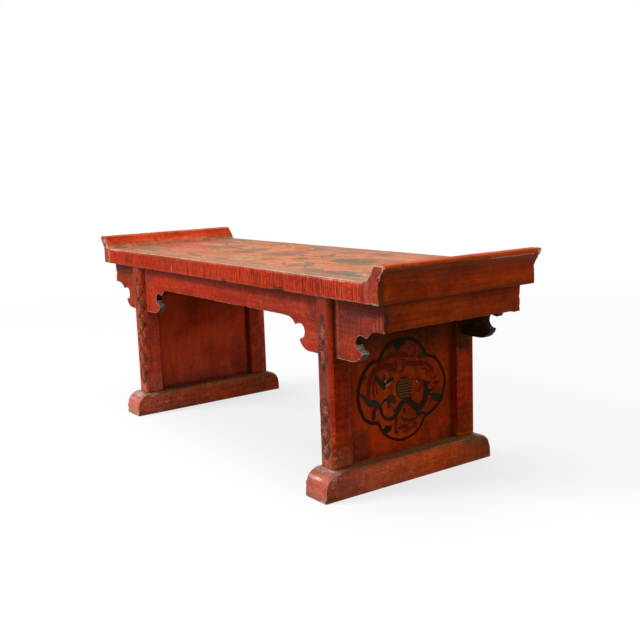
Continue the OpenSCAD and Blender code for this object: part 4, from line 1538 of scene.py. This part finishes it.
purples = (
    ((8, -35.5, 1.0), (13, -38.4, 2.6), (16.6, -42, 2.4), (13.6, -45.2, 1.2)),
    ((18, -33, 1.0), (20, -35, 1.8), (19, -37.6, 1.0)),
    ((17.5, 9.6, 0.8), (22, 8.6, 1.6), (26.4, 4.4, 2.2), (26.4, -1, 2.2), (23.4, -4, 1.2)),
    ((-3, -47.4, 0.8), (3, -48.2, 1.9), (9, -45.8, 1.8), (12, -43, 1.0)),
)
touches = (
    ((-25.3, 15, 0.3), (-25.2, 13, 1.1), (-24.4, 11, 0.3)),
    ((-24.4, 7, 0.9), (-21, 8.4, 1.2), (-16.6, 10.4, 0.3)),
    ((18.6, 6.4, 0.5), (20, 5.4, 1.5), (21, 4.2, 0.5)),
)
eyes = (((22, 7, 0.4), (22.6, 5.6, 1.0), (22, 4.4, 0.4)),)
roundel = {"middle": (1.0, 1.0), "radius": (11.0, 12.4), "disc": (52, 32, 16), "line": (112, 72, 46),
           "waves": 7, "rise": 3.1}


def ringPoints(radius, half, steps=16):
    turns = [2 * math.pi * k / steps for k in range(steps + 1)]
    return [(radius * math.cos(turn), radius * math.sin(turn), half) for turn in turns]


def medallionMeshes():
    high = medallionHeights
    layer = [(maroon, s) for s in feathers] + [(plum, s) for s in purples]
    made = [paintStrokes(layer, featherPaint, spacing=1.2, height=high["feathers"])]
    strokes = []
    for colour, shapes in ((green, clouds), (topGreen, topCloud), (olive, olives), (bodyInk, dragonTail),
                           (scaleInk, dragon), (scaleInk, wing), (pale, touches), (ink, eyes),
                           (ink, frameLobes)):
        strokes += [(colour, s) for s in shapes]
    made.append(paintStrokes(strokes, panelPaint, height=high["bodies"]))
    # a generic roundel of wavy lines
    wide, tall = roundel["radius"]
    u, v = roundel["middle"]
    disc = [(roundel["disc"], ringPoints(wide * 0.5, wide * 0.5)),
            (roundel["disc"], ringPoints(wide * 0.95, 0.8, 24))]
    grow = Matrix.Diagonal((1, tall / wide, 1, 1))
    made.append(placed(paintStrokes(disc, panelPaint, height=high["disc"]), at(u, v) @ grow))
    lines = []
    for row in range(roundel["waves"]):
        level = (row - (roundel["waves"] - 1) / 2) * roundel["rise"]
        span = wide * 0.9 * math.sqrt(1 - (level / tall) ** 2)
        wave = [(span * (k / 4 - 1), level + 0.45 * math.sin(k * 1.5 + row), 0.4) for k in range(9)]
        lines.append((roundel["line"], wave))
    made.append(placed(paintStrokes(lines, featherPaint, spacing=0.8, height=high["waves"]), at(u, v)))
    return made


for side, sign in sides:
    low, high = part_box("panel_" + side)
    face = high.x if sign > 0 else low.x
    u, v = medallionMiddle
    plane = Matrix(((0, 0, sign, face), (1, 0, 0, u * mm), (0, 1, 0, v * mm), (0, 0, 0, 1)))
    paintedPiece("medallion_" + side, medallionMeshes(), plane, dict(panelLook, ragged=0.5))
print("medallions painted")

# the leafy vine on the front posts: strands cross between ovals, and leaflets stand along them
vine = {"half": 8.9, "leafStep": 1.45, "leaf": 2.9, "leafHalf": 0.55, "seed": 7, "wander": 0.75,
        "strandLimit": 8.6, "heartLeaves": 7, "innerLeaves": 6,
        "offset": {"right": -1.6, "left": 2.0},
        "inks": {"right": ((70, 52, 40), (84, 62, 46), (56, 40, 32), (104, 70, 50)),
                 "left": ((62, 34, 18), (88, 52, 24), (46, 26, 14), (104, 52, 26))},
        "hearts": ((196, 92, 62), (188, 116, 92), (206, 70, 40), (200, 112, 62)), "blush": (156, 76, 60)}
# each oval: the middle's height, half its height, half its width
vineOvals = {
    "right": ((174.5, 10.5, 7.8), (149.5, 12.5, 7.4), (92.5, 11, 8.0), (69.5, 11.5, 7.8), (50.5, 8, 7.0)),
    "left": ((177, 12, 8.0), (153, 12, 8.4), (129, 12, 8.4), (105, 12, 8.6), (81, 12, 8.6), (57, 12, 8.2)),
}


def leaflet(u, v, angle, size, colour, half):
    across, up = size * math.cos(angle), size * math.sin(angle)
    return (colour, ((u, v, 0.25), (u + across * 0.5, v + up * 0.5, half), (u + across, v + up, 0.2)))


def ovalStrokes(chance, middle, tall, wide, inks):
    low, high = middle - tall * 0.6, middle + tall * 0.6
    strokes = [(vine["blush"], ((0, low, 1.0), (0, middle, wide * 0.42), (0, high, 1.0)))]
    limit = vine["strandLimit"]
    for hand in (-1, 1):
        path = []
        for k in range(9):
            a = math.pi * k / 8
            u = hand * wide * max(0, math.sin(a)) ** 1.35 + chance.uniform(-1, 1) * vine["wander"]
            path.append((max(-limit, min(limit, u)), middle - 1.12 * tall * math.cos(a)))
        strokes.append((chance.choice(inks), [(u, v, chance.uniform(0.3, 0.75)) for u, v in path]))
        swing = hand * wide * 0.55
        strokes.append((chance.choice(inks), (
            (swing, middle + tall * 0.9, 0.3), (-swing * 0.6, middle + tall * 0.35, 0.55),
            (-swing * 1.2, middle - tall * 0.2, 0.45), (swing * 0.3, middle - tall * 0.85, 0.25))))
        steps = int(math.pi * tall / vine["leafStep"])
        for k in range(steps):
            a = math.pi * (k + chance.random()) / steps
            u = hand * wide * math.sin(a) * chance.uniform(0.8, 1.0)
            v = middle - tall * math.cos(a)
            turn = chance.choice((-1, 1)) * chance.uniform(0.5, 1.3)
            angle = math.pi / 2 - hand * (a - math.pi / 2) * 0.5 + turn
            size = vine["leaf"] * chance.uniform(0.7, 1.3)
            if abs(u + size * math.cos(angle)) > vine["half"]:
                angle = math.pi - angle
            strokes.append(leaflet(u, v, angle, size, chance.choice(inks),
                                   vine["leafHalf"] * chance.uniform(0.7, 1.4)))
    for count, spanU, spanV, size, colours, half in (
            (vine["heartLeaves"], 0.6, 0.6, 2.6, vine["hearts"], 0.9),
            (vine["innerLeaves"], 0.5, 0.7, 2.8, inks, 0.5)):
        for _ in range(count):
            u, v = chance.uniform(-spanU, spanU) * wide, middle + chance.uniform(-spanV, spanV) * tall
            strokes.append(leaflet(u, v, chance.uniform(0, 6.28), size, chance.choice(colours), half))
    return strokes


def vineStrokes(ovals, inks, seed):
    chance = random.Random(seed)
    strokes = []
    for middle, tall, wide in ovals:
        strokes += ovalStrokes(chance, middle, tall, wide, inks)
    top = max(middle + tall for middle, tall, wide in ovals)
    bud = ((0, top + 0.6, 0.6), (0, top + 3.4, 2.5), (0.2, top + 6.0, 1.6), (0.4, top + 8.4, 0.3))
    strokes.append((inks[0], bud))
    strokes.append((inks[2], ((-2.6, top + 1.5, 0.3), (-1.6, top + 4.4, 0.7), (0, top + 6.6, 0.3))))
    for middle, tall, wide in ovals:
        foot = middle - tall
        strokes.append((inks[2], ((-0.4, foot - 3.4, 0.6), (0.2, foot - 0.4, 2.0), (0, foot + 2.6, 0.7))))
    return strokes


for side, sign in sides:
    low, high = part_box("post_front_" + side)
    middle = (low.x + high.x) / 2 + vine["offset"][side] * mm
    strokes = vineStrokes(vineOvals[side], vine["inks"][side], vine["seed"] + sign)
    made = [paintStrokes(strokes, postPaint, spacing=0.8, gap=0.3 * layerGap)]
    plane = Matrix(((1, 0, 0, middle), (0, 0, -1, low.y), (0, 1, 0, 0), (0, 0, 0, 1)))

    def cornerDrop(point):
        drop = 0.0
        for radius, gap in zip(postLook["corners"]["front"], (point.x - low.x, high.x - point.x)):
            past = max(0.0, radius - gap)
            drop = max(drop, radius - math.sqrt(max(0.0, radius ** 2 - past ** 2)))
        return drop

    # the post's own seed, so that the paint follows its waves
    vineLook = {"wavy": postLook["wavy"], "seed": postSeed(sign, -1), "drop": cornerDrop, "ragged": 0.35}
    paintedPiece("vine_" + side, made, plane, vineLook)
print("vines painted")

# brush drags across the front edge of the board
drags = {"from": -96.0, "to": 297.0, "step": 3.5, "foot": 213.4, "footLoss": 5, "head": 229.5,
         "headLoss": 7, "seed": 11,
         "pale": ((210, 80, 50), (206, 94, 64), (202, 68, 38)), "deep": ((152, 36, 18), (142, 34, 20)),
         "nick": ((228, 150, 124), ((-99.6, 213.5, 0.4), (-99.4, 218, 0.9), (-99.8, 222, 0.3)))}


def dragStrokes():
    chance = random.Random(drags["seed"])
    strokes, x = [], drags["from"]
    while x < drags["to"]:
        for colours, shift, half in ((drags["deep"], 0.0, 0.5), (drags["pale"], 2.1, 0.75)):
            u = x + shift + chance.uniform(-1.0, 1.0)
            low = drags["foot"] + chance.uniform(0, drags["footLoss"]) * chance.random()
            high = drags["head"] - chance.uniform(0, drags["headLoss"]) * chance.random()
            lean = chance.uniform(-0.9, 0.9)
            strokes.append((chance.choice(colours), (
                (u, low, 0.25), (u + lean * 0.4, (low + high) / 2, half * chance.uniform(0.6, 1.3)),
                (u + lean, high, 0.2))))
        x += drags["step"] * chance.uniform(0.7, 1.35)
    return strokes + [drags["nick"]]


made = [paintStrokes(dragStrokes(), dragPaint, spacing=1.6, gap=0.3 * layerGap)]
plane = Matrix(((1, 0, 0, 0), (0, 0, -1, topLow.y), (0, 1, 0, 0), (0, 0, 0, 1)))
paintedPiece("front_edge_drags", made, plane, board)
print("brush drags painted")

# the worn scroll of flowers on the top
bloomColours = {
    "pale": (236, 176, 132), "rose": (196, 88, 66), "teal": (112, 100, 70), "ochre": (196, 146, 84),
    "mauve": (160, 108, 84), "slate": (146, 116, 96), "moss": (136, 106, 66), "stem": (150, 86, 56),
}
# how high each layer of paint lies, in millimetres
topHeights = {"stems": 0.03, "border": 0.04, "leaves": 0.08, "petals": 0.11, "hearts": 0.14, "scraps": 0.17}


def leafStroke(colour):
    blade = ((0, 0, 0.6), (9, 1.5, 4.5), (20, 2.5, 6.5), (32, 1, 4.2), (42, -3, 0.5))
    rib = ((2, 0, 0.5), (14, 1.8, 0.7), (30, 1.2, 0.5), (38, -1, 0.2))
    return [(bloomColours[colour], blade), (bloomColours["stem"], rib)]


def petalStroke(colour):
    petal = ((5, 0, 1.5), (13, 0, 6), (21, 0, 7), (27, 0, 4), (30, 0, 1))
    vein = ((9, 0, 0.4), (16, 0, 0.6), (22, 0, 0.3))
    return [(bloomColours[colour], petal), (bloomColours["stem"], vein)]


leaves = (
    ("teal", 118, 2, 38, 1.25), ("teal", 128, 30, -22, 1.1), ("teal", 150, 8, 4, 0.9),
    ("teal", 52, 40, -40, 0.8), ("teal", 50, -8, -30, 0.9), ("teal", 108, -38, -28, 0.95),
    ("moss", -108, 24, -35, 1.0), ("moss", -92, 6, 20, 0.8), ("teal", 208, -64, -22, 1.1),
    ("teal", 246, -88, 20, 0.8), ("mauve", 150, -78, 8, 1.0), ("moss", -150, 70, -12, 0.9),
    ("teal", -262, 92, -20, 1.0), ("slate", -52, 78, -10, 1.1), ("mauve", 8, 84, -15, 1.0),
    ("teal", 96, 80, -25, 0.8), ("moss", 176, 84, -18, 0.9), ("slate", 214, 52, 24, 0.9),
    ("mauve", 252, 20, -70, 0.9), ("moss", -60, -80, 12, 0.8), ("slate", -130, -66, -18, 1.0),
    ("teal", -276, -58, -25, 1.1), ("moss", -210, 56, 30, 0.8), ("slate", 60, -84, 4, 0.8),
    ("moss", -18, 36, 60, 0.7), ("teal", 78, 8, 60, 0.6), ("mauve", -140, -22, 150, 0.8),
    ("moss", 190, -8, -160, 0.8),
)
blooms = (
    ("ochre", 2, -54, 10, 0.95, 7), ("mauve", -2, 10, 25, 1.0, 8), ("slate", -166, 18, 0, 0.95, 7),
    ("mauve", 196, 22, 15, 0.75, 7), ("slate", -232, -62, 5, 0.8, 7), ("mauve", 60, 62, 0, 0.6, 6),
)
stems = (
    ((-290, 20, 0.8), (-235, 48, 1.2), (-196, 30, 1.0), (-150, -10, 1.2), (-104, -20, 1.2),
     (-60, 12, 1.0)),
    ((-40, -12, 0.8), (-70, -44, 1.2), (-120, -50, 1.1), (-170, -76, 1.2), (-226, -84, 0.8)),
    ((34, 0, 0.8), (62, 14, 1.2), (92, 0, 1.1), (122, 22, 1.2), (168, 34, 1.0), (200, 4, 1.1),
     (236, -34, 0.8)),
    ((30, -60, 0.8), (74, -48, 1.1), (112, -70, 1.2), (164, -60, 1.2), (210, -84, 1.1), (262, -74, 0.6)),
    ((-120, 84, 0.8), (-66, 62, 1.2), (-20, 76, 1.1), (36, 60, 1.0), (88, 70, 1.2), (150, 56, 1.1),
     (206, 72, 0.7)),
)
border = {"inset": 9.0, "step": 15.0, "count": 38, "lines": (-5.0, 5.5)}
scraps = {"count": 110, "reachX": 282, "reachY": 84, "small": 0.16, "large": 0.42, "seed": 23,
          "colours": ("teal", "moss", "mauve", "rose", "pale", "teal", "slate")}


def topMeshes():
    rise, stem = topHeights, bloomColours["stem"]
    made = [paintStrokes([(stem, s) for s in stems], topPaint, spacing=2.5, height=rise["stems"])]
    for colour, u, v, angle, size in leaves:
        leaf = paintStrokes(leafStroke(colour), topPaint, spacing=2.5, height=rise["leaves"])
        made.append(placed(leaf, at(u, v, angle, size)))
    for colour, u, v, angle, size, petals in blooms:
        flower = paintStrokes(petalStroke(colour), topPaint, copies=petals, turn=360 / petals,
                              spacing=2.0, height=rise["petals"])
        made.append(placed(flower, at(u, v, angle, size)))
        ring = [(stem, ringPoints(3.4, 1.6, 12))]
        heart = paintStrokes(ring, topPaint, spacing=1.2, height=rise["hearts"])
        made.append(placed(heart, at(u, v, 0, size)))
    chance = random.Random(scraps["seed"])
    for _ in range(scraps["count"]):
        u, v = chance.uniform(-1, 1) * scraps["reachX"], chance.uniform(-1, 1) * scraps["reachY"]
        size = chance.uniform(scraps["small"], scraps["large"])
        leaf = leafStroke(chance.choice(scraps["colours"]))
        scrap = paintStrokes(leaf, topPaint, spacing=3.0, height=rise["scraps"])
        made.append(placed(scrap, at(u, v, chance.uniform(-40, 40), size)))
    depth = (topHigh.y - topLow.y) / 2 / mm - border["inset"]
    first = -border["step"] * (border["count"] - 1) / 2
    mark = [(bloomColours["moss"], ((-6, 0, 0.4), (-2, 2.2, 1.6), (3, 1.4, 1.3), (6, -1.5, 0.4))),
            (bloomColours["slate"], ((-2, -3, 0.4), (2, -2.4, 1.3), (5.5, -3.4, 0.4)))]
    for sign in (-1, 1):
        row = paintStrokes(mark, topPaint, copies=border["count"], step=(border["step"], 0, 0),
                           spacing=1.5, height=rise["border"])
        made.append(placed(row, at(first, sign * depth, flip=sign > 0)))
        for offset in border["lines"]:
            v = sign * (depth + offset)
            line = [(u, v, 0.5 + 0.15 * math.sin(u / 9)) for u in range(-296, 297, 37)]
            made.append(paintStrokes([(stem, line)], topPaint, spacing=4.0, height=rise["stems"]))
    return made


plane = Matrix.Translation((0, 0, surface))
paintedPiece("top_flower_scroll", topMeshes(), plane, board)
print("top painted")
